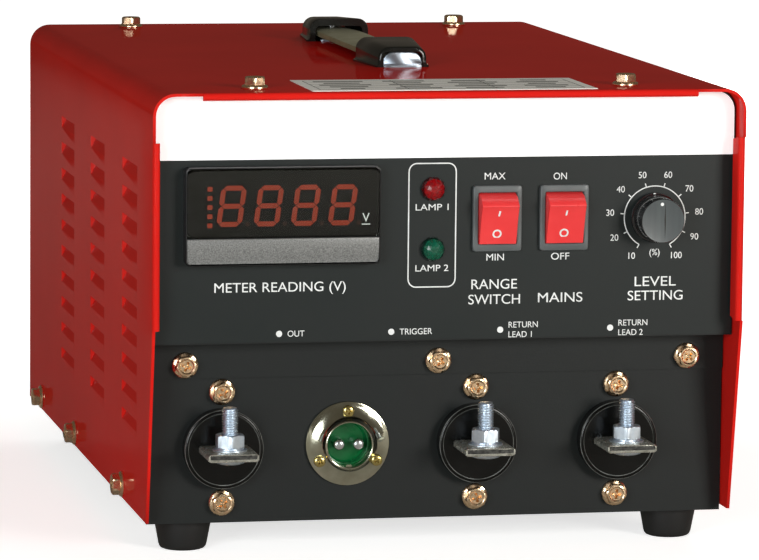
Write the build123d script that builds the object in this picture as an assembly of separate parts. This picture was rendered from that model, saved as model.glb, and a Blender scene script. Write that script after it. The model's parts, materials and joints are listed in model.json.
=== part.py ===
from build123d import *
import math
import os

os.makedirs("parts", exist_ok=True)

# Case sizes, worked out from the photograph, in millimetres.
# X runs to the right, the front faces -Y, Z is up and the feet stand on Z = 0.
case_width = 295.0
case_depth = 440.0
case_top = 230.0
foot_height = 18.0
cover_sheet = 1.5
cover_bend = 11.0
panel_sheet = 1.5
panel_recess = 13.0
lower_recess = 30.0
rear_recess = 12.0
bar_overhang = 5.0
side_gap = 0.5
overlay_sheet = 0.4

# Planes that the pieces share
half = case_width / 2
inner_half = half - cover_sheet
panel_half = inner_half - side_gap
rim = (bar_overhang - case_depth) / 2
rear = rim + case_depth
inner_top = case_top - cover_sheet
floor = foot_height + panel_sheet
panel_y = rim + panel_recess
panel_back = panel_y + panel_sheet
overlay_y = panel_y - overlay_sheet
lower_y = rim + lower_recess
lower_back = lower_y + panel_sheet
rear_y = rear - rear_recess
rear_inside = rear_y - panel_sheet
through = 1.0


def block(xs, ys, zs):
    middle = Pos(sum(xs) / 2, sum(ys) / 2, sum(zs) / 2)
    return middle * Box(abs(xs[1] - xs[0]), abs(ys[1] - ys[0]), abs(zs[1] - zs[0]))


def around(middle, width):
    return (middle - width / 2, middle + width / 2)


def rod_x(radius, xs, y, z):
    return Pos(sum(xs) / 2, y, z) * Rot(0, 90, 0) * Cylinder(radius, xs[1] - xs[0])


def rod_y(radius, x, ys, z):
    return Pos(x, sum(ys) / 2, z) * Rot(90, 0, 0) * Cylinder(radius, ys[1] - ys[0])


def rod_z(radius, x, y, zs):
    return Pos(x, y, sum(zs) / 2) * Cylinder(radius, zs[1] - zs[0])


def prism_x(outline, xs):
    face = make_face(Polyline(*[(xs[0], y, z) for y, z in outline], close=True))
    return extrude(face, amount=xs[1] - xs[0], dir=(1, 0, 0))


def prism_y(outline, ys):
    face = make_face(Polyline(*[(x, ys[0], z) for x, z in outline], close=True))
    return extrude(face, amount=ys[1] - ys[0], dir=(0, 1, 0))


def prism_z(outline, zs):
    face = make_face(Polyline(*[(x, y, zs[0]) for x, y in outline], close=True))
    return extrude(face, amount=zs[1] - zs[0], dir=(0, 0, 1))


def facing_front(x, y, z):
    return Plane(origin=(x, y, z), x_dir=(1, 0, 0), z_dir=(0, -1, 0))


def tablet(width, height, radius, x, ys, z):
    return extrude(facing_front(x, ys[1], z) * RectangleRounded(width, height, radius), amount=ys[1] - ys[0])


def hexagon_z(across, x, y, zs):
    outline = RegularPolygon(across / 2, 6, major_radius=False)
    return extrude(Plane(origin=(x, y, zs[0])) * outline, amount=zs[1] - zs[0])


def hexagon_y(across, x, ys, z):
    outline = RegularPolygon(across / 2, 6, major_radius=False)
    return extrude(facing_front(x, ys[1], z) * outline, amount=ys[1] - ys[0])


def round_top_corners(plate, radius):
    return fillet(plate.edges().filter_by(Axis.Y).group_by(Axis.Z)[-1], radius)


def save(name, *solids):
    shape = solids[0] if len(solids) == 1 else Compound(children=list(solids))
    export_step(shape, "parts/" + name + ".step")


# Hex flange screw, the same one all over the case, with its head up along +Z
screw_radius = 3.0
screw_clearance = 0.25
screw_flange = 6.5
screw_across = 9.5
screw_flange_height = 1.6
screw_head_height = 5.6
screw_hole = screw_radius + screw_clearance
top_screw_length = 10.0
side_screw_length = 7.5
panel_screw_length = 10.0


def flange_screw(length):
    shank = rod_z(screw_radius, 0, 0, (-length, 0))
    flange = rod_z(screw_flange, 0, 0, (0, screw_flange_height))
    head = hexagon_z(screw_across, 0, 0, (screw_flange_height, screw_head_height))
    return shank + flange + head


# Where the cover screws go: two pairs through the top, three low on each side
top_screw_inset = 54.5
top_screw_lead = 28.0
top_screw_lag = 20.0
side_screw_level = 7.0
side_screw_lead = 94.0
side_screw_middle = 260.0
side_screw_lag = 50.0
top_screw_x = half - top_screw_inset
top_screw_ys = [rim + top_screw_lead, rear - top_screw_lag]
top_screws = [(sx * top_screw_x, y) for sx in (-1, 1) for y in top_screw_ys]
side_screw_z = foot_height + side_screw_level
side_screw_ys = [rim + side_screw_lead, rim + side_screw_middle, rear - side_screw_lag]
flange_screws = [Pos(x, y, case_top) * flange_screw(top_screw_length) for x, y in top_screws]
for side in (-1, 1):
    for y in side_screw_ys:
        turned = Rot(0, side * 90, 0) * flange_screw(side_screw_length)
        flange_screws.append(Pos(side * half, y, side_screw_z) * turned)

# Cover: one sheet bent to an upside-down U, its front edge hemmed inwards above the slanted lower part
knee_height = 97.0
slant = 18.0
hem_depth = 10.0
hem_top_gap = 24.5
hem_side_gap = 25.0
knee_z = foot_height + knee_height
outer_body = round_top_corners(block((-half, half), (rim, rear), (foot_height, case_top)), cover_bend)
inner_ys = (rim - through, rear + through)
inner_body = block((-inner_half, inner_half), inner_ys, (foot_height - through, inner_top))
inner_body = round_top_corners(inner_body, cover_bend - cover_sheet)
cover = outer_body - inner_body
slant_outline = [
    (rim - through, knee_z),
    (rim, knee_z),
    (rim + slant, foot_height),
    (rim + slant, foot_height - through),
    (rim - through, foot_height - through),
]
cover = cover - prism_x(slant_outline, (-half - through, half + through))
hem_half = half - hem_top_gap
top_hem_outline = [
    (-hem_half, rim),
    (hem_half, rim),
    (hem_half - hem_depth, rim + hem_depth),
    (-hem_half + hem_depth, rim + hem_depth),
]
hem_top = case_top - hem_side_gap
side_hem_outline = [
    (rim, knee_z),
    (rim, hem_top),
    (rim + hem_depth, hem_top - hem_depth),
    (rim + hem_depth, knee_z + hem_depth),
]
cover = cover + prism_z(top_hem_outline, (inner_top - cover_sheet, inner_top))
cover = cover + prism_x(side_hem_outline, (-inner_half, -inner_half + cover_sheet))
cover = cover + prism_x(side_hem_outline, (inner_half - cover_sheet, inner_half))

# Louvres: pressed inwards, open along the top, running out flush at the foot, with closed tapered ends
louvre_length = 48.0
louvre_rise = 9.5
louvre_depth = 5.0
louvre_taper = 4.0
louvre_pitch = 14.0
louvre_rows = 10
louvre_columns = 3
louvre_column_pitch = 108.0
louvre_lead = 48.0
louvre_drop = 39.5
louvre_first_y = rim + louvre_lead
louvre_first_z = case_top - louvre_drop
end_slope = louvre_taper / louvre_depth
end_shift = cover_sheet * math.hypot(1.0, end_slope)


def louvre_pocket(side, y, z):
    ramp_outline = [
        (side * (half + through), z),
        (side * (half - louvre_depth), z),
        (side * half, z - louvre_rise),
        (side * (half + through), z - louvre_rise),
    ]
    plan_outline = [
        (side * (half + through), y),
        (side * half, y),
        (side * (half - louvre_depth), y + louvre_taper),
        (side * (half - louvre_depth), y + louvre_length - louvre_taper),
        (side * half, y + louvre_length),
        (side * (half + through), y + louvre_length),
    ]
    ramp = prism_y(ramp_outline, (y - through, y + louvre_length + through))
    return ramp & prism_z(plan_outline, (z - louvre_rise - through, z + through))


def louvre_metal(side, y, z):
    skin = half - cover_sheet / 2
    deep = louvre_depth + cover_sheet
    near = end_slope * cover_sheet / 2 - end_shift
    far = end_slope * deep - end_shift
    ramp_outline = [
        (side * skin, z),
        (side * (half - deep), z),
        (side * (half - cover_sheet), z - louvre_rise),
        (side * skin, z - louvre_rise),
    ]
    plan_outline = [
        (side * skin, y + near),
        (side * (half - deep), y + far),
        (side * (half - deep), y + louvre_length - far),
        (side * skin, y + louvre_length - near),
    ]
    ramp = prism_y(ramp_outline, (y + near - through, y + louvre_length - near + through))
    return ramp & prism_z(plan_outline, (z - louvre_rise - through, z + through))


louvres = [
    (side, louvre_first_y + column * louvre_column_pitch, louvre_first_z - row * louvre_pitch)
    for side in (-1, 1)
    for column in range(louvre_columns)
    for row in range(louvre_rows)
]
cover = cover + [louvre_metal(*place) for place in louvres]
cover = cover - [louvre_pocket(*place) for place in louvres]

# Handle place on the cover top, and the holes through the cover
handle_x = 4.0
handle_shift = 24.0
handle_reach = 105.0
handle_screw_radius = 2.5
handle_screw_inset = 20.0
handle_screw_tail = 8.0
handle_mid = (rim + rear) / 2 + handle_shift
handle_screw_ys = [handle_mid + s * (handle_reach - handle_screw_inset) for s in (-1, 1)]
handle_screw_hole = handle_screw_radius + screw_clearance
top_cut = (inner_top - through, case_top + through)
cover = cover - [rod_z(screw_hole, x, y, top_cut) for x, y in top_screws]
cover = cover - [rod_x(screw_hole, (-half - through, half + through), y, side_screw_z) for y in side_screw_ys]
cover = cover - [rod_z(handle_screw_hole, handle_x, y, top_cut) for y in handle_screw_ys]
save("cover", cover)

# Base pan: the floor of the case with an upstand each side behind the cover's lower edge
upstand = 24.0
foot_inset = 23.5
foot_lead = 50.0
foot_lag = 55.0
foot_ys = [rim + foot_lead, rear - foot_lag]
foot_places = [(sx * (half - foot_inset), y) for sx in (-1, 1) for y in foot_ys]
foot_screw_radius = 2.5
foot_screw_hole = foot_screw_radius + screw_clearance
upstand_inside = inner_half - panel_sheet
pan_ys = (lower_back, rear_inside)
base_pan = block((-inner_half, inner_half), pan_ys, (foot_height, floor))
for side in (-1, 1):
    upstand_xs = (side * upstand_inside, side * inner_half)
    base_pan = base_pan + block(upstand_xs, pan_ys, (foot_height, foot_height + upstand))
base_pan = base_pan - [rod_x(screw_hole, (-half, half), y, side_screw_z) for y in side_screw_ys]
foot_cut = (foot_height - through, floor + through)
base_pan = base_pan - [rod_z(foot_screw_hole, x, y, foot_cut) for x, y in foot_places]
save("base_pan", base_pan)

# Feet: moulded rubber, tapered, hollow underneath for the screw head
foot_top_radius = 14.75
foot_bottom_radius = 11.0
foot_recess_radius = 6.0
foot_recess = 12.0
foot_head_radius = 4.6
foot_head_height = 3.0
small_nut_across = 8.0
small_nut_height = 4.0
feet = []
small_screws = []
for x, y in foot_places:
    foot = Pos(x, y, foot_height / 2) * Cone(foot_bottom_radius, foot_top_radius, foot_height)
    foot = foot - rod_z(foot_recess_radius, x, y, (-through, foot_recess))
    foot = foot - rod_z(foot_screw_hole, x, y, (0, foot_height + through))
    feet.append(foot)
    screw = rod_z(foot_screw_radius, x, y, (foot_recess, floor + small_nut_height + through))
    screw = screw + rod_z(foot_head_radius, x, y, (foot_recess - foot_head_height, foot_recess))
    small_screws.append(screw + hexagon_z(small_nut_across, x, y, (floor, floor + small_nut_height)))
save("feet", *feet)

# Data plate, a thin metal sticker on the cover top
plate_width = 142.0
plate_depth = 60.0
plate_x = 2.5
plate_lead = 36.0
plate_sheet = 0.3
plate_y = rim + plate_lead
plate_zs = (case_top, case_top + plate_sheet)
save("data_plate", block(around(plate_x, plate_width), around(plate_y, plate_depth), plate_zs))

# Handle end caps: moulded arches, wider and taller at the mouth than at the outer end
cap_length = 42.0
cap_end_width = 25.0
cap_end_height = 10.5
cap_mouth_width = 33.0
cap_mouth_height = 12.5
cap_wall = 2.3
cap_corner = 6.0
cap_lip = 1.4
cap_lip_height = 1.2
bracket_sheet = 1.0
bracket_gap = 0.4
bracket_toe = 1.2
end_plate_recess = 0.8
collar_radius = 4.5
collar_height = 1.2
sleeve_radius = 3.2
screw_cap_radius = 5.0
screw_cap_height = 0.7
strap_width = 24.0
strap_thickness = 4.0
strap_lift = 1.6
strap_play = 0.1
strap_inset = 5.0
strap_edge = 1.2
strap_slot = 10.0
strap_slot_gap = 0.5
strap_bottom = case_top + bracket_sheet + collar_height
strap_top = strap_bottom + strap_thickness
screw_cap_bottom = strap_top + strap_lift + strap_play


def arch(width, height, corner, y):
    outline = Rectangle(width, height, align=(Align.CENTER, Align.MIN))
    outline = fillet(outline.vertices().group_by(Axis.Y)[-1], corner)
    return facing_front(handle_x, y, case_top) * outline


end_caps = []
brackets = []
inner_corner = cap_corner - cap_wall
bracket_half = cap_end_width / 2 - cap_wall - bracket_gap
for side, screw_y in zip((-1, 1), handle_screw_ys):
    end_y = handle_mid + side * handle_reach
    mouth_y = end_y - side * cap_length
    outside = [
        arch(cap_end_width, cap_end_height, cap_corner, end_y),
        arch(cap_mouth_width, cap_mouth_height, cap_corner, mouth_y),
    ]
    tunnel_end = (cap_end_width - 2 * cap_wall, cap_end_height - cap_wall)
    tunnel_mouth = (cap_mouth_width - 2 * cap_wall, cap_mouth_height - cap_wall)
    tunnel = [
        arch(*tunnel_end, inner_corner, end_y + side * through),
        arch(*tunnel_mouth, inner_corner, mouth_y - side * through),
    ]
    lip_outline = [
        (handle_x - cap_end_width / 2 - cap_lip, end_y),
        (handle_x + cap_end_width / 2 + cap_lip, end_y),
        (handle_x + cap_mouth_width / 2 + cap_lip, mouth_y),
        (handle_x - cap_mouth_width / 2 - cap_lip, mouth_y),
    ]
    lip = prism_z(lip_outline, (case_top, case_top + cap_lip_height))
    end_caps.append(loft(outside) + lip - loft(tunnel))
    # Bright bracket: a base under the strap, turned up at the outer end to close the arch
    base_zs = (case_top, case_top + bracket_sheet)
    base = block(around(handle_x, 2 * bracket_half), (end_y + side * bracket_toe, mouth_y), base_zs)
    end_height = tunnel_end[1] - bracket_gap / 2
    end_face = arch(2 * bracket_half, end_height, inner_corner, end_y - side * end_plate_recess)
    bracket = base + extrude(end_face, amount=side * bracket_sheet)
    brackets.append(bracket - rod_z(handle_screw_hole, handle_x, screw_y, (case_top - through, strap_bottom)))
    # Shouldered screw: collar under the strap, sleeve through its slot, flat cap above with room to lift
    screw = rod_z(handle_screw_radius, handle_x, screw_y, (inner_top - handle_screw_tail, strap_bottom))
    screw = screw + rod_z(collar_radius, handle_x, screw_y, (base_zs[1], strap_bottom))
    screw = screw + rod_z(sleeve_radius, handle_x, screw_y, (strap_bottom, screw_cap_bottom))
    screw_cap_zs = (screw_cap_bottom, screw_cap_bottom + screw_cap_height)
    screw = screw + rod_z(screw_cap_radius, handle_x, screw_y, screw_cap_zs)
    nut_zs = (inner_top - small_nut_height, inner_top)
    small_screws.append(screw + hexagon_z(small_nut_across, handle_x, screw_y, nut_zs))
save("handle_caps", *end_caps)
save("handle_brackets", *brackets)

# Strap: flat moulded rubber, narrowed inside the caps, with a slot at each end for the screw sleeve
strap_half = handle_reach - strap_inset
strap_zs = (strap_bottom, strap_top)
strap_cut = (strap_bottom - through, strap_top + through)
strap = block(around(handle_x, strap_width), around(handle_mid, 2 * strap_half), strap_zs)
strap = fillet(strap.edges().filter_by(Axis.Y), strap_edge)
tip_half = cap_end_width / 2 - cap_wall - 2 * strap_edge
for side in (-1, 1):
    tip_y = handle_mid + side * (strap_half + through)
    root_y = handle_mid + side * (handle_reach - cap_length)
    for edge in (-1, 1):
        sliver = [
            (handle_x + edge * tip_half, tip_y),
            (handle_x + edge * strap_width, tip_y),
            (handle_x + edge * strap_width, root_y),
            (handle_x + edge * strap_width / 2, root_y),
        ]
        strap = strap - prism_z(sliver, strap_cut)
for y in handle_screw_ys:
    slot_width = 2 * (sleeve_radius + strap_slot_gap)
    strap = strap - block(around(handle_x, slot_width), around(y, strap_slot), strap_cut)
save("handle_strap", strap)

# Places on the upper panel, measured on its face
panel_level = 88.5
meter_inset = 63.0
meter_level = 63.0
lamp_x = -7.0
red_lamp_level = 74.7
green_lamp_level = 45.1
switch_xs = [25.0, 58.7]
switch_level = 59.9
knob_inset = 40.5
knob_level = 59.2
panel_bottom = foot_height + panel_level
meter_x = meter_inset - panel_half
meter_z = panel_bottom + meter_level
lamp_zs = [panel_bottom + red_lamp_level, panel_bottom + green_lamp_level]
switch_z = panel_bottom + switch_level
knob_x = panel_half - knob_inset
knob_z = panel_bottom + knob_level

# Openings shared by the panel and its overlay
meter_cut_width = 92.0
meter_cut_height = 45.0
lamp_hole = 4.3
switch_cut_width = 22.2
switch_cut_height = 29.2
bush_radius = 4.5
bush_gap = 0.3


def panel_cuts(ys):
    cuts = [block(around(meter_x, meter_cut_width), ys, around(meter_z, meter_cut_height))]
    cuts = cuts + [rod_y(lamp_hole, lamp_x, ys, z) for z in lamp_zs]
    cuts = cuts + [
        block(around(x, switch_cut_width), ys, around(switch_z, switch_cut_height)) for x in switch_xs
    ]
    return cuts + [rod_y(bush_radius + bush_gap, knob_x, ys, knob_z)]


# Upper panel: face, top flange under the cover, step back and flange over the lower panel
seam_drop = 19.0
top_flange = 42.0
top_flange_gap = 22.5
panel_screw_inset = 18.8
panel_screw_drop = 12.3
panel_screw_x = panel_half - panel_screw_inset
panel_screw_xs = [-panel_screw_x, 0.0, panel_screw_x]
panel_screw_z = panel_bottom - panel_screw_drop
panel_corner = cover_bend - cover_sheet + side_gap
top_flange_half = half - top_flange_gap
flange_zs = (inner_top - panel_sheet, inner_top)
panel_xs = (-panel_half, panel_half)
step_top = panel_bottom + panel_sheet
step_front = lower_y - panel_sheet
top_flange_xs = (-top_flange_half, top_flange_half)
upper_panel = block(panel_xs, (panel_y, panel_back), (panel_bottom, inner_top))
upper_panel = round_top_corners(upper_panel, panel_corner)
upper_panel = upper_panel + block(top_flange_xs, (panel_y, panel_y + top_flange), flange_zs)
upper_panel = upper_panel + block(panel_xs, (panel_y, lower_y), (panel_bottom, step_top))
upper_panel = upper_panel + block(panel_xs, (step_front, lower_y), (panel_bottom - seam_drop, step_top))
upper_panel = upper_panel - panel_cuts((panel_y - through, panel_back + through))
seam_cut = (step_front - through, lower_back + through)
seam_holes = [rod_y(screw_hole, x, seam_cut, panel_screw_z) for x in panel_screw_xs]
flange_cut = (flange_zs[0] - through, inner_top + through)
flange_holes = [rod_z(screw_hole, x, y, flange_cut) for x, y in top_screws]
upper_panel = upper_panel - seam_holes - flange_holes
save("upper_panel", upper_panel)

# Overlay: printed plastic sheet stuck on the upper panel
overlay_margin = 0.7
overlay_half = panel_half - overlay_margin
overlay_zs = (panel_bottom + overlay_margin, inner_top - overlay_margin)
overlay = block((-overlay_half, overlay_half), (overlay_y, panel_y), overlay_zs)
overlay = round_top_corners(overlay, panel_corner - side_gap)
overlay = overlay - panel_cuts((overlay_y - through, panel_y + through))
save("overlay", overlay)

# Panel meter in the standard 96 by 48 size
meter_width = 96.0
meter_height = 48.0
meter_proud = 8.0
meter_corner = 2.5
meter_case_depth = 82.0
meter_case_gap = 0.4
meter_border = 2.0
window_width = 91.0
window_height = 32.4
window_sheet = 2.4
window_corner = 1.5
window_gap = 0.2
window_ledge = 0.8
trim_width = 92.0
trim_height = 12.0
trim_depth = 1.4
trim_proud = 0.3
trim_border = 0.7
trim_edge = 0.8
clamp_width = 4.0
clamp_length = 42.5
clamp_height = 12.0
meter_front = overlay_y - meter_proud
window_z = meter_z + meter_height / 2 - meter_border - window_height / 2
window_back = meter_front + window_sheet
trim_z = meter_z - meter_height / 2 + trim_border + trim_height / 2
case_wide = meter_cut_width - 2 * meter_case_gap
case_tall = meter_cut_height - 2 * meter_case_gap
well_width = window_width - 2 * window_ledge
well_height = window_height - 2 * window_ledge
meter_body = tablet(meter_width, meter_height, meter_corner, meter_x, (meter_front, overlay_y), meter_z)
meter_body = meter_body + block(
    around(meter_x, case_wide), (overlay_y, panel_y + meter_case_depth), around(meter_z, case_tall)
)
meter_body = meter_body - tablet(
    window_width + 2 * window_gap,
    window_height + 2 * window_gap,
    window_corner + window_gap,
    meter_x,
    (meter_front - through, window_back),
    window_z,
)
meter_body = meter_body - block(
    around(meter_x, well_width), (meter_front - through, overlay_y), around(window_z, well_height)
)
trim_pocket_height = trim_height + 2 * window_gap
meter_body = meter_body - block(
    around(meter_x, trim_width + 2 * window_gap),
    (meter_front - through, meter_front + trim_depth),
    around(trim_z, trim_pocket_height),
)
clamps = []
for side in (-1, 1):
    clamp_xs = (meter_x + side * case_wide / 2, meter_x + side * (case_wide / 2 + clamp_width))
    clamps.append(block(clamp_xs, (panel_back, panel_back + clamp_length), around(meter_z, clamp_height)))
save("meter_body", meter_body, *clamps)
window_ys = (meter_front + window_gap, window_back)
save("meter_window", tablet(window_width, window_height, window_corner, meter_x, window_ys, window_z))
trim_ys = (meter_front - trim_proud, meter_front + trim_depth)
meter_trim = block(around(meter_x, trim_width), trim_ys, around(trim_z, trim_height))
save("meter_trim", chamfer(meter_trim.edges().filter_by(Axis.X).group_by(Axis.Y)[0], trim_edge))

# Display board with four digit blocks and a row of level lights, at the back of the meter's well
digit_pitch = 18.1
digit_count = 4
digit_width = 17.0
digit_height = 24.0
digit_rise = 2.0
digit_shift = -1.5
level_width = 4.0
level_shift = -40.0
display_sheet = 1.6
display_gap = 0.5
digit_ys = (overlay_y - display_sheet - digit_rise, overlay_y - display_sheet)
display = block(
    around(meter_x, well_width - 2 * display_gap),
    (overlay_y - display_sheet, overlay_y),
    around(window_z, well_height - 2 * display_gap),
)
for k in range(digit_count):
    digit_x = meter_x + digit_shift + digit_pitch * (k - (digit_count - 1) / 2)
    display = display + block(around(digit_x, digit_width), digit_ys, around(window_z, digit_height))
level_xs = around(meter_x + level_shift, level_width)
display = display + block(level_xs, digit_ys, around(window_z, digit_height))
save("meter_display", display)

# Pilot lamps: clear coloured lens in front, body through the panel, nut behind
lens_radius = 6.0
lens_height = 5.0
lens_edge = 2.2
lamp_body_gap = 0.3
lamp_length = 24.0
lamp_nut_across = 11.0
lamp_nut_height = 3.0
lamp_bodies = []
for name, z in zip(("red_lens", "green_lens"), lamp_zs):
    lens = rod_y(lens_radius, lamp_x, (overlay_y - lens_height, overlay_y), z)
    save(name, chamfer(lens.edges().group_by(Axis.Y)[0], lens_edge))
    lamp_body = rod_y(lamp_hole - lamp_body_gap, lamp_x, (overlay_y, panel_y + lamp_length), z)
    lamp_nut = hexagon_y(lamp_nut_across, lamp_x, (panel_back, panel_back + lamp_nut_height), z)
    lamp_bodies.append(lamp_body + lamp_nut)
save("lamp_bodies", *lamp_bodies)

# Rocker switches: the rocker is part of a drum about its pivot, cut flat in front,
# so that the pressed end lies flush with the bezel and the other end stands out
bezel_width = 24.5
bezel_height = 32.5
bezel_proud = 2.4
bezel_corner = 1.0
bezel_edge = 0.5
rocker_width = 18.8
rocker_radius = 12.4
rocker_tilt = 18.0
rocker_gap = 0.35
rocker_back = 4.0
pivot_depth = 3.4
pivot_radius = 1.5
pivot_play = 0.05
pivot_length = 0.6
housing_depth = 24.0
housing_gap = 0.2
tab_width = 6.2
tab_sheet = 0.8
tab_length = 9.0
tab_x = 5.0
tab_z = 8.0
bezel_front = overlay_y - bezel_proud
pivot_y = bezel_front + pivot_depth
flush_angle = math.degrees(math.acos(pivot_depth / rocker_radius))
face_distance = rocker_radius * math.cos(math.radians(flush_angle - rocker_tilt))
well_half_x = rocker_width / 2 + rocker_gap
well_half_z = rocker_radius + rocker_gap
well_back = pivot_y + rocker_radius - rocker_gap
housing_back = panel_y + housing_depth
for name, x in zip(("high_low", "power"), switch_xs):
    switch = tablet(bezel_width, bezel_height, bezel_corner, x, (bezel_front, overlay_y), switch_z)
    switch = chamfer(switch.edges().group_by(Axis.Y)[0], bezel_edge)
    housing_xs = around(x, switch_cut_width - 2 * housing_gap)
    housing_zs = around(switch_z, switch_cut_height - 2 * housing_gap)
    switch = switch + block(housing_xs, (overlay_y, housing_back), housing_zs)
    well_ys = (bezel_front - through, well_back)
    switch = switch - block(around(x, 2 * well_half_x), well_ys, around(switch_z, 2 * well_half_z))
    bore_xs = around(x, 2 * (well_half_x + pivot_length + pivot_play))
    switch = switch - rod_x(pivot_radius + pivot_play, bore_xs, pivot_y, switch_z)
    for side_x in (-1, 1):
        for side_z in (-1, 1):
            switch = switch + block(
                around(x + side_x * tab_x, tab_sheet),
                (housing_back, housing_back + tab_length),
                around(switch_z + side_z * tab_z, tab_width),
            )
    save(name + "_switch", switch)
    drum = rod_x(rocker_radius, around(0, rocker_width), 0, 0)
    kept_ys = (-face_distance, rocker_back)
    drum = drum & block(around(0, 2 * rocker_width), kept_ys, around(0, 3 * rocker_radius))
    drum = drum + rod_x(pivot_radius, around(0, 2 * (well_half_x + pivot_length)), 0, 0)
    save(name + "_rocker", Pos(x, pivot_y, switch_z) * Rot(rocker_tilt, 0, 0) * drum)

# Potentiometer behind the panel with its nut, shaft and skirted knob in front
shaft_radius = 3.0
shaft_play = 0.05
shaft_grip = 6.0
pot_radius = 12.0
pot_depth = 14.0
pot_lug_width = 18.0
pot_lug_length = 8.0
pot_lug_sheet = 1.6
pot_nut_across = 12.0
pot_nut_height = 2.4
bush_length = 5.0
knob_lift = 0.6
knob_height = 16.0
knob_crown = 3.0
knob_edge = 0.7
knob_groove = 1.0
knob_groove_depth = 0.6
knob_hollow = 8.2
skirt_radius = 12.4
skirt_height = 2.6
knob_base_radius = 11.0
knob_face_radius = 10.4
knob_back = overlay_y - knob_lift
knob_front = knob_back - knob_height
skirt_front = knob_back - skirt_height
shaft_front = knob_front + knob_crown
shaft_rear = panel_back + shaft_grip
bush_front = overlay_y - bush_length
pot = rod_y(pot_radius, knob_x, (panel_back, panel_back + pot_depth), knob_z)
pot = pot + rod_y(bush_radius, knob_x, (bush_front, panel_back), knob_z)
lug_ys = around(panel_back + pot_depth / 2, pot_lug_sheet)
lug_zs = (knob_z - pot_radius - pot_lug_length, knob_z - pot_radius / 2)
pot = pot + block(around(knob_x, pot_lug_width), lug_ys, lug_zs)
pot = pot - rod_y(shaft_radius + shaft_play, knob_x, (bush_front - through, shaft_rear), knob_z)
pot_nut = hexagon_y(pot_nut_across, knob_x, (overlay_y - pot_nut_height, overlay_y), knob_z)
pot_nut = pot_nut - rod_y(bush_radius + shaft_play, knob_x, (bush_front, overlay_y + through), knob_z)
save("pot_body", pot, pot_nut)
save("pot_shaft", rod_y(shaft_radius, knob_x, (shaft_front, shaft_rear), knob_z))
knob_cone = Cone(knob_base_radius, knob_face_radius, skirt_front - knob_front)
knob = rod_y(skirt_radius, knob_x, (skirt_front, knob_back), knob_z)
knob = knob + Pos(knob_x, (skirt_front + knob_front) / 2, knob_z) * Rot(90, 0, 0) * knob_cone
knob = chamfer(knob.edges().group_by(Axis.Y)[0], knob_edge)
knob = knob - rod_y(knob_hollow, knob_x, (bush_front - through, knob_back + through), knob_z)
knob = knob - rod_y(shaft_radius + shaft_play, knob_x, (shaft_front, knob_back), knob_z)
groove_ys = (knob_front - through, knob_front + knob_groove_depth)
knob = knob - block(around(knob_x, knob_groove), groove_ys, around(knob_z, 2 * skirt_radius))
save("charge_knob", knob)

# Lower panel: carries the terminals and the socket, with a foot flange on the pan
gun_inset = 37.5
base_1_x = 19.5
base_2_inset = 54.5
terminal_level = 35.0
lower_drop = 2.5
bushing_hole = 15.0
bushing_screw_offset = 27.5
socket_x = -45.3
socket_rise = 0.6
barrel_radius = 13.0
barrel_gap = 0.3
lower_flange = 14.0
lower_flange_gap = 5.0
seam_lap = 3.5
terminal_xs = [gun_inset - panel_half, base_1_x, panel_half - base_2_inset]
terminal_z = foot_height + terminal_level
socket_z = terminal_z + socket_rise
lower_top = panel_bottom - seam_lap
lower_cut = (lower_y - through, lower_back + through)
bushing_screw_zs = [terminal_z - bushing_screw_offset, terminal_z + bushing_screw_offset]
flange_xs = (-panel_half + lower_flange_gap, panel_half - lower_flange_gap)
lower_panel = block(panel_xs, (lower_y, lower_back), (foot_height - lower_drop, lower_top))
lower_panel = lower_panel + block(flange_xs, (lower_y, lower_y + lower_flange), (floor, floor + panel_sheet))
for x in terminal_xs:
    lower_panel = lower_panel - rod_y(bushing_hole, x, lower_cut, terminal_z)
    lower_panel = lower_panel - [rod_y(screw_hole, x, lower_cut, z) for z in bushing_screw_zs]
lower_panel = lower_panel - rod_y(barrel_radius + barrel_gap, socket_x, lower_cut, socket_z) - seam_holes
save("lower_panel", lower_panel)

# Panel screws: three along the seam, one above and one below each terminal
front_screw = Rot(90, 0, 0) * flange_screw(panel_screw_length)
flange_screws = flange_screws + [Pos(x, step_front, panel_screw_z) * front_screw for x in panel_screw_xs]
for x in terminal_xs:
    flange_screws = flange_screws + [Pos(x, lower_y, z) * front_screw for z in bushing_screw_zs]
save("flange_screws", *flange_screws)

# Output terminals: insulating bushing, flat bar through it, bolt from below, washer and nut
disc_radius = 19.6
disc_proud = 8.0
disc_edge = 1.4
neck_gap = 0.3
bushing_plate = 10.0
bushing_plate_half = 20.0
bushing_plate_top = 34.0
bushing_plate_gap = 0.5
bar_width = 25.0
bar_thickness = 4.0
bar_gap = 0.3
bar_reach = 78.0
stud_set_back = 12.0
stud_radius = 4.0
stud_gap = 0.3
stud_relief = 0.4
thread_start = 0.5
stud_edge = 0.8
stud_head_radius = 8.3
stud_head_crown = 4.5
stud_head_height = 3.8
washer_radius = 8.5
washer_sheet = 1.6
nut_across = 13.0
nut_height = 6.5
nut_play = 0.05
free_thread = 13.0
bar_ys = (rim - bar_overhang, rim + bar_reach)
bar_bottom = terminal_z - bar_thickness / 2
bar_top = terminal_z + bar_thickness / 2
stud_y = bar_ys[0] + stud_set_back
washer_top = bar_top + washer_sheet
nut_top = washer_top + nut_height
stud_top = nut_top + free_thread
bushing_back = lower_back + bushing_plate
bushing_zs = (floor + panel_sheet + bushing_plate_gap, terminal_z + bushing_plate_top)
slot_zs = (bar_bottom, bar_top + bar_gap)
bushings = []
bars = []
studs = []
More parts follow.
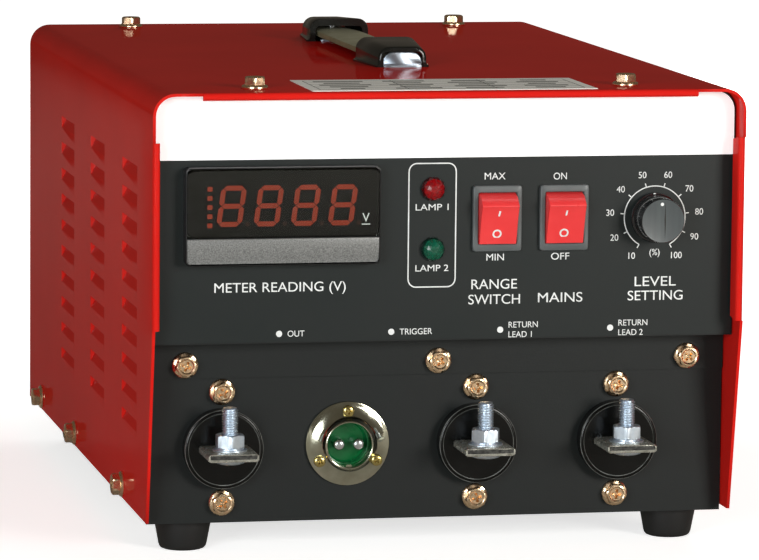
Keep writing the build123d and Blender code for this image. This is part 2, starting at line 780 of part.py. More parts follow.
for name, x in zip(("gun", "base_1", "base_2"), terminal_xs):
    bushing = rod_y(disc_radius, x, (lower_y - disc_proud, lower_y), terminal_z)
    bushing = chamfer(bushing.edges().group_by(Axis.Y)[0], disc_edge)
    bushing = bushing + rod_y(bushing_hole - neck_gap, x, (lower_y - through, bushing_back), terminal_z)
    bushing = bushing + block(around(x, 2 * bushing_plate_half), (lower_back, bushing_back), bushing_zs)
    slot_ys = (lower_y - disc_proud - through, bushing_back + through)
    bushing = bushing - block(around(x, bar_width + 2 * bar_gap), slot_ys, slot_zs)
    bushing_cut = (lower_y, bushing_back + through)
    bushings.append(bushing - [rod_y(screw_hole, x, bushing_cut, z) for z in bushing_screw_zs])
    bar = block(around(x, bar_width), bar_ys, (bar_bottom, bar_top))
    bars.append(bar - rod_z(stud_radius + stud_gap, x, stud_y, (bar_bottom - through, bar_top + through)))
    stud = rod_z(stud_radius, x, stud_y, (nut_top + thread_start, stud_top))
    stud = chamfer(stud.edges().group_by(Axis.Z)[-1], stud_edge)
    stud = stud + rod_z(stud_radius - stud_relief, x, stud_y, (bar_bottom, nut_top + thread_start))
    head = Cone(stud_head_crown, stud_head_radius, stud_head_height)
    studs.append(stud + Pos(x, stud_y, bar_bottom - stud_head_height / 2) * head)
    washer = rod_z(washer_radius, x, stud_y, (bar_top, washer_top))
    washer = washer - rod_z(stud_radius + stud_gap, x, stud_y, (bar_bottom, stud_top))
    save(name + "_washer", washer)
    nut = hexagon_z(nut_across, x, stud_y, (washer_top, nut_top))
    save(name + "_nut", nut - rod_z(stud_radius + nut_play, x, stud_y, (bar_bottom, stud_top)))
save("terminal_bushings", *bushings)
save("terminal_bars", *bars)
save("terminal_studs", *studs)

# Gun switch socket: dished metal shell with a key, moulded insert with two pins, three small screws
shell_radius = 21.0
shell_lip = 1.6
shell_rim = 1.4
shell_proud = 7.0
mouth_radius = 11.6
barrel_length = 22.0
step_radius = 9.2
insert_gap = 0.3
insert_set_back = 0.5
insert_sheet = 5.5
key_width = 2.6
key_height = 1.1
key_length = 4.5
pin_radius = 2.3
pin_gap = 0.1
pin_tip = 1.0
pin_set_back = 1.0
pin_length = 22.0
pin_offset = 4.8
pin_collar = 0.9
pin_collar_height = 2.0
socket_screw_circle = 16.5
socket_screw_angles = [90.0, 210.0, 330.0]
socket_screw_radius = 1.4
socket_screw_gap = 0.2
socket_head_radius = 2.9
socket_head_height = 2.0
socket_seat = 3.2
seat_y = lower_y - socket_seat
shell_front = lower_y - shell_proud
insert_front = lower_y + insert_set_back
insert_back = insert_front + insert_sheet
pin_front = shell_front + pin_set_back
pin_back = pin_front + pin_length
key_ys = (shell_front + shell_lip, shell_front + shell_lip + key_length)
dish = Polyline(
    (mouth_radius, shell_front, 0),
    (mouth_radius + shell_lip, shell_front, 0),
    (socket_screw_circle, seat_y - shell_lip, 0),
    (shell_radius, lower_y - shell_rim, 0),
    (shell_radius, lower_y, 0),
    (barrel_radius, lower_y, 0),
    (barrel_radius, lower_y + barrel_length, 0),
    (step_radius, lower_y + barrel_length, 0),
    (step_radius, insert_back, 0),
    (mouth_radius, insert_back, 0),
    close=True,
)
socket_shell = Pos(socket_x, 0, socket_z) * revolve(make_face(dish), Axis.Y)
key_zs = (socket_z - mouth_radius - shell_lip / 2, socket_z - mouth_radius + key_height)
socket_shell = socket_shell + block(around(socket_x, key_width), key_ys, key_zs)
socket_screws = []
for angle in socket_screw_angles:
    x = socket_x + socket_screw_circle * math.cos(math.radians(angle))
    z = socket_z + socket_screw_circle * math.sin(math.radians(angle))
    seat_cut = (shell_front - through, seat_y)
    socket_shell = socket_shell - rod_y(socket_head_radius + socket_screw_gap, x, seat_cut, z)
    shank_cut = (seat_y - through, lower_y + through)
    socket_shell = socket_shell - rod_y(socket_screw_radius + socket_screw_gap, x, shank_cut, z)
    head = rod_y(socket_head_radius, x, (seat_y - socket_head_height, seat_y), z)
    socket_screws.append(head + rod_y(socket_screw_radius, x, (seat_y, lower_y), z))
save("socket_shell", socket_shell)
save("socket_screws", *socket_screws)
insert = rod_y(mouth_radius - insert_gap, socket_x, (insert_front, insert_back), socket_z)
pins = []
for side in (-1, 1):
    x = socket_x + side * pin_offset
    insert_cut = (insert_front - through, insert_back + through)
    insert = insert - rod_y(pin_radius + pin_gap, x, insert_cut, socket_z)
    pin = rod_y(pin_radius, x, (pin_front, pin_back), socket_z)
    pin = chamfer(pin.edges().group_by(Axis.Y)[0], pin_tip)
    collar_ys = (insert_back, insert_back + pin_collar_height)
    pins.append(pin + rod_y(pin_radius + pin_collar, x, collar_ys, socket_z))
save("socket_insert", insert)
save("socket_pins", *pins)

# Rear panel: fan slots, inlet opening, flanges under the cover and on the pan
fan_inset = 75.5
fan_level = 109.0
fan_size = 119.0
fan_wall = 3.0
fan_screw_inset = 7.0
fan_screw_radius = 2.0
fan_head_radius = 3.8
fan_head_height = 2.4
slot_margin = 4.5
slot_pitch = 11.0
slot_height = 6.0
slot_web = 8.0
inlet_inset = 53.5
inlet_level = 49.0
inlet_cut_width = 28.0
inlet_cut_height = 20.8
inlet_ear_x = 20.0
inlet_screw_radius = 1.5
inlet_screw_gap = 0.2
rear_flange = 46.0
fan_x = fan_inset - panel_half
fan_z = foot_height + fan_level
fan_duct = fan_size / 2 - fan_wall
fan_screw_pitch = fan_size - 2 * fan_screw_inset
slot_circle = fan_duct - slot_margin
slot_side_rows = int((slot_circle - slot_height) / slot_pitch)
inlet_x = panel_half - inlet_inset
inlet_z = foot_height + inlet_level
inlet_ear_xs = [inlet_x - inlet_ear_x, inlet_x + inlet_ear_x]
inlet_ear_hole = inlet_screw_radius + inlet_screw_gap
rear_cut = (rear_inside - through, rear_y + through)
fan_screw_hole = fan_screw_radius + screw_clearance
fan_screw_places = [
    (fan_x + sx * fan_screw_pitch / 2, fan_z + sz * fan_screw_pitch / 2) for sx in (-1, 1) for sz in (-1, 1)
]
rear_panel = round_top_corners(block(panel_xs, (rear_inside, rear_y), (foot_height, inner_top)), panel_corner)
rear_panel = rear_panel + block(top_flange_xs, (rear_y - rear_flange, rear_y), flange_zs)
rear_panel = rear_panel + block(flange_xs, (rear_y - lower_flange, rear_y), (floor, floor + panel_sheet))
for row in range(-slot_side_rows, slot_side_rows + 1):
    reach = math.sqrt(slot_circle**2 - (row * slot_pitch) ** 2)
    row_zs = around(fan_z + row * slot_pitch, slot_height)
    for side in (-1, 1):
        row_xs = (fan_x + side * slot_web / 2, fan_x + side * reach)
        rear_panel = rear_panel - block(row_xs, rear_cut, row_zs)
rear_panel = rear_panel - [rod_y(fan_screw_hole, x, rear_cut, z) for x, z in fan_screw_places]
rear_panel = rear_panel - block(around(inlet_x, inlet_cut_width), rear_cut, around(inlet_z, inlet_cut_height))
rear_panel = rear_panel - [rod_y(inlet_ear_hole, x, rear_cut, inlet_z) for x in inlet_ear_xs] - flange_holes
save("rear_panel", rear_panel)

# Axial fan: frame with a spider on the inner side, and a bladed rotor on its spindle
fan_depth = 38.0
hub_radius = 20.0
spider_sheet = 3.0
spider_arm = 4.0
spider_angles = [45.0, 135.0, 225.0, 315.0]
spindle_radius = 2.0
spindle_play = 0.05
rotor_gap = 1.0
rotor_inset = 5.0
blade_count = 7
blade_tip_gap = 2.0
blade_chord = 30.0
blade_sheet = 1.8
blade_angle = 40.0
fan_screw_depth = 8.0
fan_front = rear_inside - fan_depth
spider_ys = (fan_front, fan_front + spider_sheet)
fan_frame = block(around(fan_x, fan_size), (fan_front, rear_inside), around(fan_z, fan_size))
fan_frame = fan_frame - rod_y(fan_duct, fan_x, (fan_front - through, rear_inside + through), fan_z)
fan_frame = fan_frame + rod_y(hub_radius, fan_x, spider_ys, fan_z)
for angle in spider_angles:
    arm = block((hub_radius - through, fan_duct + through), spider_ys, around(0, spider_arm))
    fan_frame = fan_frame + Pos(fan_x, 0, fan_z) * Rot(0, angle, 0) * arm
spindle_cut = (fan_front - through, spider_ys[1] + through)
fan_frame = fan_frame - rod_y(spindle_radius + spindle_play, fan_x, spindle_cut, fan_z)
screw_cut = (rear_inside - fan_screw_depth, rear_inside + through)
fan_frame = fan_frame - [rod_y(fan_screw_hole, x, screw_cut, z) for x, z in fan_screw_places]
save("fan_frame", fan_frame)
rotor_ys = (spider_ys[1] + rotor_gap, rear_inside - rotor_inset)
fan_rotor = rod_y(hub_radius, fan_x, rotor_ys, fan_z)
fan_rotor = fan_rotor + rod_y(spindle_radius, fan_x, (fan_front, rotor_ys[1]), fan_z)
blade_reach = (hub_radius - through, fan_duct - blade_tip_gap)
for k in range(blade_count):
    blade = Box(blade_reach[1] - blade_reach[0], blade_chord, blade_sheet)
    blade = Pos(sum(blade_reach) / 2, sum(rotor_ys) / 2, 0) * Rot(blade_angle, 0, 0) * blade
    fan_rotor = fan_rotor + Pos(fan_x, 0, fan_z) * Rot(0, k * 360.0 / blade_count, 0) * blade
save("fan_rotor", fan_rotor)
for x, z in fan_screw_places:
    screw = rod_y(fan_screw_radius, x, (rear_inside - fan_screw_depth + through, rear_y), z)
    small_screws.append(screw + rod_y(fan_head_radius, x, (rear_y, rear_y + fan_head_height), z))

# Mains inlet: moulded body with a recess and three blades, held by a screw through each ear
inlet_flange_width = 50.0
inlet_flange_height = 24.0
inlet_flange = 3.0
inlet_corner = 3.0
inlet_gap = 0.3
inlet_depth = 24.0
recess_width = 24.6
recess_height = 16.8
recess_depth = 14.5
inlet_head_radius = 2.8
inlet_head_height = 1.6
inlet_screw_tail = 4.0
inlet_blade_sheet = 2.0
inlet_blade_height = 4.0
inlet_blade_x = 7.0
inlet_blade_z = 2.0
inlet_blade_set_back = 1.0
inlet_face = rear_y + inlet_flange
inlet_xs = around(inlet_x, inlet_cut_width - 2 * inlet_gap)
inlet_zs = around(inlet_z, inlet_cut_height - 2 * inlet_gap)
recess_bottom = rear_y - recess_depth
inlet = tablet(inlet_flange_width, inlet_flange_height, inlet_corner, inlet_x, (rear_y, inlet_face), inlet_z)
inlet = inlet + block(inlet_xs, (rear_y - inlet_depth, rear_y), inlet_zs)
recess_ys = (recess_bottom, inlet_face + through)
inlet = inlet - block(around(inlet_x, recess_width), recess_ys, around(inlet_z, recess_height))
ear_cut = (rear_y - through, inlet_face + through)
inlet_head_ys = (inlet_face, inlet_face + inlet_head_height)
for x in inlet_ear_xs:
    inlet = inlet - rod_y(inlet_ear_hole, x, ear_cut, inlet_z)
    screw = rod_y(inlet_screw_radius, x, (rear_inside - inlet_screw_tail, inlet_face), inlet_z)
    small_screws.append(screw + rod_y(inlet_head_radius, x, inlet_head_ys, inlet_z))
save("small_screws", *small_screws)
inlet_blades = []
for dx, dz in ((-inlet_blade_x, -inlet_blade_z), (inlet_blade_x, -inlet_blade_z), (0.0, inlet_blade_z)):
    blade_ys = (recess_bottom, rear_y - inlet_blade_set_back)
    blade_zs = around(inlet_z + dz, inlet_blade_height)
    inlet_blades.append(block(around(inlet_x + dx, inlet_blade_sheet), blade_ys, blade_zs))
save("mains_inlet", inlet, *inlet_blades)

# Capacitor bank: six cans standing on an insulating board, held by a holed clamp board on tie rods
can_radius = 30.0
can_height = 130.0
can_gap = 7.0
can_hole_gap = 0.4
board_thickness = 6.0
board_edge = 4.0
clamp_board = 5.0
clamp_level = 86.0
bank_wall_gap = 5.5
bank_lead = 120.0
post_radius = 6.0
post_offset = 14.0
post_height = 5.0
bus_sheet = 3.0
bus_screw_radius = 3.0
bus_screw_across = 10.0
bus_screw_height = 4.0
tie_radius = 3.0
tie_nut_across = 9.0
tie_nut_height = 4.0
tie_tail = 7.0
can_pitch = 2 * can_radius + can_gap
bank_front = rim + bank_lead
bank_left = -upstand_inside + bank_wall_gap
can_xs = [bank_left + board_edge + can_radius + k * can_pitch for k in range(2)]
can_ys = [bank_front + board_edge + can_radius + k * can_pitch for k in range(3)]
board_xs = (bank_left, can_xs[-1] + can_radius + board_edge)
board_ys = (bank_front, can_ys[-1] + can_radius + board_edge)
can_bottom = floor + board_thickness
can_top = can_bottom + can_height
clamp_zs = (floor + clamp_level, floor + clamp_level + clamp_board)
clamp_cut = (clamp_zs[0] - through, clamp_zs[1] + through)
bus_zs = (can_top + post_height, can_top + post_height + bus_sheet)
bus_cut = (bus_zs[0] - through, bus_zs[1] + through)
bus_hole = bus_screw_radius + screw_clearance
tie_hole = tie_radius + screw_clearance
tie_xs = [board_xs[0] + board_edge, sum(can_xs) / 2, board_xs[1] - board_edge]
tie_places = [(x, sum(can_ys[k : k + 2]) / 2) for x in tie_xs for k in range(2)]
clamp_plate = block(board_xs, board_ys, clamp_zs)
capacitors = []
bank_fasteners = []
bus_holes = []
for x in can_xs:
    for y in can_ys:
        clamp_plate = clamp_plate - rod_z(can_radius + can_hole_gap, x, y, clamp_cut)
        capacitors.append(rod_z(can_radius, x, y, (can_bottom, can_top)))
        for post_x in (x - post_offset, x + post_offset):
            post = rod_z(post_radius, post_x, y, (can_top, bus_zs[0]))
            capacitors.append(post - rod_z(bus_hole, post_x, y, (can_top, bus_cut[1])))
            bus_holes.append(rod_z(bus_hole, post_x, y, bus_cut))
            screw = rod_z(bus_screw_radius, post_x, y, (can_top, bus_zs[1]))
            head_zs = (bus_zs[1], bus_zs[1] + bus_screw_height)
            bank_fasteners.append(screw + hexagon_z(bus_screw_across, post_x, y, head_zs))
for x, y in tie_places:
    clamp_plate = clamp_plate - rod_z(tie_hole, x, y, clamp_cut)
    tie = rod_z(tie_radius, x, y, (can_bottom, clamp_zs[1] + tie_tail))
    tie = tie + hexagon_z(tie_nut_across, x, y, (clamp_zs[0] - tie_nut_height, clamp_zs[0]))
    bank_fasteners.append(tie + hexagon_z(tie_nut_across, x, y, (clamp_zs[1], clamp_zs[1] + tie_nut_height)))
save("capacitor_clamp", clamp_plate)
save("capacitors", *capacitors)

# Discharge thyristor: a disc clamped on a live heat sink, which stands on two insulating rails
sink_lead = 58.0
sink_depth = 50.0
sink_width = 110.0
sink_margin = 4.5
sink_base = 8.0
fin_count = 11
fin_sheet = 3.0
rail_height = 6.0
rail_width = 18.0
thyristor_radius = 18.0
thyristor_height = 14.0
thyristor_bolt_offset = 26.0
clamp_bar_length = 66.0
clamp_bar_width = 16.0
clamp_bar_height = 8.0
clamp_bolt_head = 5.0
sink_front = rim + sink_lead
sink_left = terminal_xs[0] - bar_width / 2 - sink_margin
sink_xs = (sink_left, sink_left + sink_width)
sink_ys = (sink_front, sink_front + sink_depth)
rail_zs = (floor, floor + rail_height)
heat_sink = block(sink_xs, sink_ys, (bar_bottom - sink_base, bar_bottom))
fin_pitch = (sink_width - fin_sheet) / (fin_count - 1)
for k in range(fin_count):
    fin_x = sink_left + k * fin_pitch
    heat_sink = heat_sink + block((fin_x, fin_x + fin_sheet), sink_ys, (rail_zs[1], bar_bottom - sink_base))
save("heat_sink", heat_sink)
cap_board = block(board_xs, board_ys, (floor, can_bottom))
left_rail = block((sink_xs[0], sink_xs[0] + rail_width), sink_ys, rail_zs)
right_rail = block((sink_xs[1] - rail_width, sink_xs[1]), sink_ys, rail_zs)
save("insulating_boards", cap_board, left_rail, right_rail)
thyristor_x = sum(can_xs) / 2
thyristor_y = sink_front + sink_depth / 2
thyristor_zs = (bar_bottom, bar_bottom + thyristor_height)
save("thyristor", rod_z(thyristor_radius, thyristor_x, thyristor_y, thyristor_zs))
link_top = thyristor_zs[1] + bus_sheet
clamp_bar_zs = (link_top, link_top + clamp_bar_height)
clamp_bar = block(
    around(thyristor_x, clamp_bar_length), around(thyristor_y, clamp_bar_width), clamp_bar_zs
)
clamp_bolts = []
for side in (-1, 1):
    bolt_x = thyristor_x + side * thyristor_bolt_offset
    bar_cut = (clamp_bar_zs[0] - through, clamp_bar_zs[1] + through)
    clamp_bar = clamp_bar - rod_z(tie_hole, bolt_x, thyristor_y, bar_cut)
    bolt = rod_z(tie_radius, bolt_x, thyristor_y, (bar_bottom, clamp_bar_zs[1]))
    head_zs = (clamp_bar_zs[1], clamp_bar_zs[1] + clamp_bolt_head)
    clamp_bolts.append(bolt + hexagon_z(bus_screw_across, bolt_x, thyristor_y, head_zs))
save("thyristor_clamp", clamp_bar, *clamp_bolts)

# Bus bars joining the cans, with the links that lead from them to the thyristor and the output bars
bus_reach = 12.0
bus_edge = 7.0
bus_strip = 16.0
bus_cross = 14.0
bus_cross_gap = 7.0
bar_link_depth = 17.5
link_width = 24.0
riser_width = 10.0
riser_gap = 5.0
link_drop = 12.0
bus_ys = (can_ys[0] - bus_reach, can_ys[-1] + bus_reach)
riser_ys = (bank_front - riser_gap - bus_sheet, bank_front - riser_gap)
link_zs = (bus_zs[1], bus_zs[1] + bus_sheet)
lap_y = can_ys[0] - bus_screw_across / 2 - through
plus_xs = (can_xs[0] + post_offset - bus_edge, can_xs[1] - post_offset + bus_edge)
plus_bus = block(plus_xs, bus_ys, bus_zs) - bus_holes
plus_link_xs = around(thyristor_x, link_width)
thyristor_top_zs = (thyristor_zs[1], link_top)
plus_link = block(plus_link_xs, (thyristor_y - link_width / 2, riser_ys[1]), thyristor_top_zs)
plus_link = plus_link + block(plus_link_xs, riser_ys, (thyristor_zs[1], link_zs[1]))
plus_link = plus_link + block(plus_link_xs, (riser_ys[0], lap_y), link_zs)
save("positive_bus", plus_bus, plus_link)
minus_xs = [can_xs[0] - post_offset, can_xs[1] + post_offset]
cross_ys = (bus_ys[1] + bus_cross_gap, bus_ys[1] + bus_cross_gap + bus_cross)
minus_bus = block((minus_xs[0] - bus_strip / 2, minus_xs[1] + bus_strip / 2), cross_ys, bus_zs)
for x in minus_xs:
    minus_bus = minus_bus + block(around(x, bus_strip), (bus_ys[0], cross_ys[1]), bus_zs)
minus_bus = minus_bus - bus_holes
bar_link_zs = (bar_top, bar_top + bus_sheet)
bar_link_ys = (bar_ys[1] - bar_link_depth, bar_ys[1])
bar_link_xs = (terminal_xs[1] - bar_width / 2, terminal_xs[2] + bar_width / 2)
riser_xs = (bar_link_xs[0], bar_link_xs[0] + riser_width)
lead_left = minus_xs[1] - bus_strip / 2
minus_link = block(bar_link_xs, bar_link_ys, bar_link_zs)
minus_link = minus_link + block(riser_xs, (bar_link_ys[0], riser_ys[1]), bar_link_zs)
minus_link = minus_link + block(riser_xs, riser_ys, (bar_top, link_zs[1]))
minus_link = minus_link + block((lead_left, riser_xs[1]), riser_ys, (bus_zs[1] - link_drop, link_zs[1]))
minus_link = minus_link + block(around(minus_xs[1], bus_strip), (riser_ys[0], lap_y), link_zs)
save("negative_bus", minus_bus, minus_link)
gun_screw_y = (sink_front + bar_ys[1]) / 2
gun_screw_zs = (bar_top, bar_top + bus_screw_height)
bank_fasteners.append(hexagon_z(bus_screw_across, terminal_xs[0], gun_screw_y, gun_screw_zs))
save("bank_fasteners", *bank_fasteners)

# Charging transformer: E and I core in the usual proportions, winding on the middle leg, angle feet
core_width = 90.0
core_stack = 45.0
core_wall_gap = 8.5
core_lead = 245.0
winding_build = 14.0
winding_corner = 6.0
winding_gap = 0.4
angle_sheet = 2.0
angle_foot = 20.0
angle_web = 13.0
leg = core_width / 6
core_y = rim + core_lead
core_height = core_width * 5 / 6
core_x = upstand_inside - core_wall_gap - core_width / 2
window_zs = (floor + leg, floor + core_height - leg)
core_xs = around(core_x, core_width)
core_ys = around(core_y, core_stack)
core = block(core_xs, core_ys, (floor, floor + core_height))
for side in (-1, 1):
    window_xs = (core_x + side * leg, core_x + side * 2 * leg)
    core = core - block(window_xs, around(core_y, core_stack + 2 * through), window_zs)
core_feet = []
for side in (-1, 1):
    face_y = core_y + side * core_stack / 2
    foot = block(core_xs, (face_y, face_y + side * angle_foot), (floor, floor + angle_sheet))
    core_feet.append(foot + block(core_xs, (face_y, face_y + side * angle_sheet), (floor, floor + angle_web)))
save("transformer_core", core, *core_feet)
winding_xs = around(core_x, 4 * leg - 2 * winding_gap)
winding = block(winding_xs, around(core_y, core_stack + 2 * winding_build), window_zs)
winding = fillet(winding.edges().filter_by(Axis.Z), winding_corner)
save("transformer_winding", winding - block(around(core_x, 2 * leg), core_ys, (floor, floor + core_height)))

# Bridge rectifier bolted flat to the pan in front of the transformer
bridge_size = 28.4
bridge_height = 10.0
bridge_lead = 85.0
bridge_tab = 9.0
bridge_y = core_y - bridge_lead
bridge_zs = (floor, floor + bridge_height)
rectifier = block(around(core_x, bridge_size), around(bridge_y, bridge_size), bridge_zs)
for side_x in (-1, 1):
    for side_y in (-1, 1):
        rectifier = rectifier + block(
            around(core_x + side_x * bridge_tab, tab_sheet),
            around(bridge_y + side_y * bridge_tab, tab_width),
            (bridge_zs[1], bridge_zs[1] + tab_length),
        )
bridge_head_zs = (bridge_zs[1], bridge_zs[1] + small_nut_height)
rectifier = rectifier + hexagon_z(small_nut_across, core_x, bridge_y, bridge_head_zs)
save("bridge_rectifier", rectifier)

# Charging resistor: ceramic tube on a through rod between two end plates, behind the transformer
tube_length = 72.0
tube_radius = 14.0
tube_bore = 5.0
tube_level = 34.0
tube_lag = 78.0
stand_rod = 3.0
stand_tail = 4.0
stand_sheet = 1.5
stand_width = 22.0
stand_head = 9.0
stand_foot = 11.0
tube_y = core_y + tube_lag
tube_z = floor + tube_level
tube_xs = around(core_x, tube_length)
tube = rod_x(tube_radius, tube_xs, tube_y, tube_z)
save("charging_resistor", tube - rod_x(tube_bore, around(core_x, tube_length + 2 * through), tube_y, tube_z))
stand = rod_x(stand_rod, around(core_x, tube_length + 2 * stand_tail), tube_y, tube_z)
for side in (-1, 1):
    end_x = core_x + side * tube_length / 2
    plate_xs = (end_x, end_x + side * stand_sheet)
    stand = stand + block(plate_xs, around(tube_y, stand_width), (floor, tube_z + stand_head))
    foot_xs = (end_x, end_x + side * stand_foot)
    stand = stand + block(foot_xs, around(tube_y, stand_width), (floor, floor + stand_sheet))
save("resistor_stand", stand)

# Divider plate standing on the pan beside the bank, with the control board on standoffs
divider_gap = 12.0
divider_lead = 130.0
divider_length = 200.0
divider_foot = 10.0
divider_head_gap = 18.0
standoff_radius = 3.0
standoff_height = 8.0
pcb_sheet = 1.6
pcb_height = 80.0
pcb_inset = 12.0
pcb_head_gap = 6.0
standoff_inset = 5.0
divider_ys = (rim + divider_lead, rim + divider_lead + divider_length)
divider_x = board_xs[1] + divider_gap
divider_face = divider_x + panel_sheet
divider_top = inner_top - divider_head_gap
pcb_back = divider_face + standoff_height
pcb_face = pcb_back + pcb_sheet
pcb_ys = (divider_ys[0] + pcb_inset, divider_ys[1] - pcb_inset)
pcb_zs = (divider_top - pcb_head_gap - pcb_height, divider_top - pcb_head_gap)
divider = block((divider_x, divider_face), divider_ys, (floor, divider_top))
divider_foot_xs = (divider_face - divider_foot, divider_face)
divider = divider + block(divider_foot_xs, divider_ys, (floor, floor + panel_sheet))
for y in (pcb_ys[0] + standoff_inset, pcb_ys[1] - standoff_inset):
    for z in (pcb_zs[0] + standoff_inset, pcb_zs[1] - standoff_inset):
        divider = divider + rod_x(standoff_radius, (divider_face, pcb_back), y, z)
save("divider_plate", divider)

# Parts on the board, each placed from its front lower corner: along, up, length, height, depth
relay = (28.0, 22.0, 18.0)
heat_tab = (22.0, 30.0, 22.0)
terminal_strip = (44.0, 12.0, 14.0)
chip = (36.0, 15.0, 4.0)
small_chip = (20.0, 8.0, 4.0)
header = (34.0, 9.0, 12.0)
board_places = [
    (30.0, 20.0, relay),
    (64.0, 20.0, relay),
    (100.0, 22.0, heat_tab),
    (140.0, 18.0, terminal_strip),
    (88.0, 52.0, chip),
    (132.0, 50.0, small_chip),
    (26.0, 71.0, header),
    (150.0, 71.0, header),
]
filter_cans = [(24.0, 47.0, 9.0, 25.0), (46.0, 47.0, 9.0, 25.0), (70.0, 67.0, 5.0, 12.0)]
board_parts = []
for along, up, (length, height, depth) in board_places:
    board_parts.append(
        block(
            (pcb_face, pcb_face + depth),
            around(pcb_ys[0] + along, length),
            around(pcb_zs[0] + up, height),
        )
    )
for along, up, radius, depth in filter_cans:
    board_parts.append(rod_x(radius, (pcb_face, pcb_face + depth), pcb_ys[0] + along, pcb_zs[0] + up))
save("control_board", block((pcb_back, pcb_face), pcb_ys, pcb_zs), *board_parts)
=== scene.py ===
import json
import math

import bmesh
import bpy
from mathutils import Matrix, Vector


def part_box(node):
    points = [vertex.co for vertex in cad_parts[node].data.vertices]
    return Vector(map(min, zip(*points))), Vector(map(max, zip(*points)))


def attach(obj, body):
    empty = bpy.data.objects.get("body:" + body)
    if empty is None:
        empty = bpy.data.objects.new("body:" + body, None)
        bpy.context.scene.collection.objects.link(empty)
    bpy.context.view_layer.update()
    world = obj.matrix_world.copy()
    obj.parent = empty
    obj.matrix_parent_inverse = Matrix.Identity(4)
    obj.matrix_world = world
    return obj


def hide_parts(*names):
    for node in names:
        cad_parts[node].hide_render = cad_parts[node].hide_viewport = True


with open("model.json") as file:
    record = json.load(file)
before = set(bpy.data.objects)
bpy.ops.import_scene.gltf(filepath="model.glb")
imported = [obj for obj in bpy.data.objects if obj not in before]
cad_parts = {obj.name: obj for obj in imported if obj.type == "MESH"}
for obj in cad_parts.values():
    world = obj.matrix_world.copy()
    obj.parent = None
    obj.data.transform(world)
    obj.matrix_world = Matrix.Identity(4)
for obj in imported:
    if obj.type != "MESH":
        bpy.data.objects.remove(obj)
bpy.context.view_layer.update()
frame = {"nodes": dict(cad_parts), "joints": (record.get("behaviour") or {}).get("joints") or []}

# Base pan: the folded floor of the case, zinc-plated sheet with an upstand along each side.
# Everything inside is screwed down to it, and only its underside shows, between the feet.
MM = 0.001


def seen(red, green, blue):
    """A colour given as it looks on screen, made linear for the shaders."""
    linear = [((c + 0.055) / 1.055) ** 2.4 if c > 0.04 else c / 12.92 for c in (red, green, blue)]
    return (*linear, 1.0)


def node_tree(name, kind, inputs, outputs):
    """A node group with named sockets, and its own input and output nodes."""
    tree = bpy.data.node_groups.new(name, kind)
    for way, sockets in (("INPUT", inputs), ("OUTPUT", outputs)):
        for label, value in sockets:
            tree.interface.new_socket(label, in_out=way, socket_type="NodeSocket" + value)
    return tree, tree.nodes.new("NodeGroupInput"), tree.nodes.new("NodeGroupOutput")


def add_node(tree, kind, operation=None, **values):
    """A node with its operation and the values on its inputs."""
    node = tree.nodes.new(kind)
    if operation:
        node.operation = operation
    for label, value in values.items():
        node.inputs[label.replace("_", " ")].default_value = value
    return node


def wire(tree, *joins):
    """Joins outputs to inputs, given in pairs."""
    for source, target in joins:
        tree.links.new(source, target)


def mixed_colour(tree, factor, first, second):
    """A mix of two colours, each another node's output or a constant."""
    node = tree.nodes.new("ShaderNodeMix")
    node.data_type = "RGBA"
    wire(tree, (factor, node.inputs["Factor"]))
    for label, colour in (("A", first), ("B", second)):
        if isinstance(colour, tuple):
            node.inputs[label].default_value = colour
        else:
            wire(tree, (colour, node.inputs[label]))
    return node.outputs["Result"]


def noise(tree, vector, scale, detail):
    node = add_node(tree, "ShaderNodeTexNoise", Detail=detail)
    wire(tree, (vector, node.inputs["Vector"]), (scale, node.inputs["Scale"]))
    return node.outputs["Fac"]


# Grain that every finish has: a fine relief, and broad patches of a second colour and roughness
surface_grain, taken, given = node_tree(
    "surface_grain",
    "ShaderNodeTree",
    [
        ("Colour", "Color"), ("Patch Colour", "Color"), ("Patch Scale", "Float"), ("Grain Scale", "Float"),
        ("Smoothest", "Float"), ("Roughest", "Float"), ("Run", "Vector"),
    ],
    [("Colour", "Color"), ("Roughness", "Float"), ("Height", "Float")],
)
place = add_node(surface_grain, "ShaderNodeTexCoord")
run = add_node(surface_grain, "ShaderNodeVectorMath", "MULTIPLY")
broad = noise(surface_grain, run.outputs["Vector"], taken.outputs["Patch Scale"], 3.0)
fine = noise(surface_grain, run.outputs["Vector"], taken.outputs["Grain Scale"], 2.0)
spread = add_node(surface_grain, "ShaderNodeMapRange", From_Min=0.32, From_Max=0.68)
patches = spread.outputs["Result"]
blended = mixed_colour(surface_grain, patches, taken.outputs["Colour"], taken.outputs["Patch Colour"])
evenness = add_node(surface_grain, "ShaderNodeMapRange")
wire(
    surface_grain,
    (place.outputs["Object"], run.inputs[0]),
    (taken.outputs["Run"], run.inputs[1]),
    (broad, spread.inputs["Value"]),
    (patches, evenness.inputs["Value"]),
    (taken.outputs["Smoothest"], evenness.inputs["To Min"]),
    (taken.outputs["Roughest"], evenness.inputs["To Max"]),
    (blended, given.inputs["Colour"]),
    (evenness.outputs["Result"], given.inputs["Roughness"]),
    (fine, given.inputs["Height"]),
)


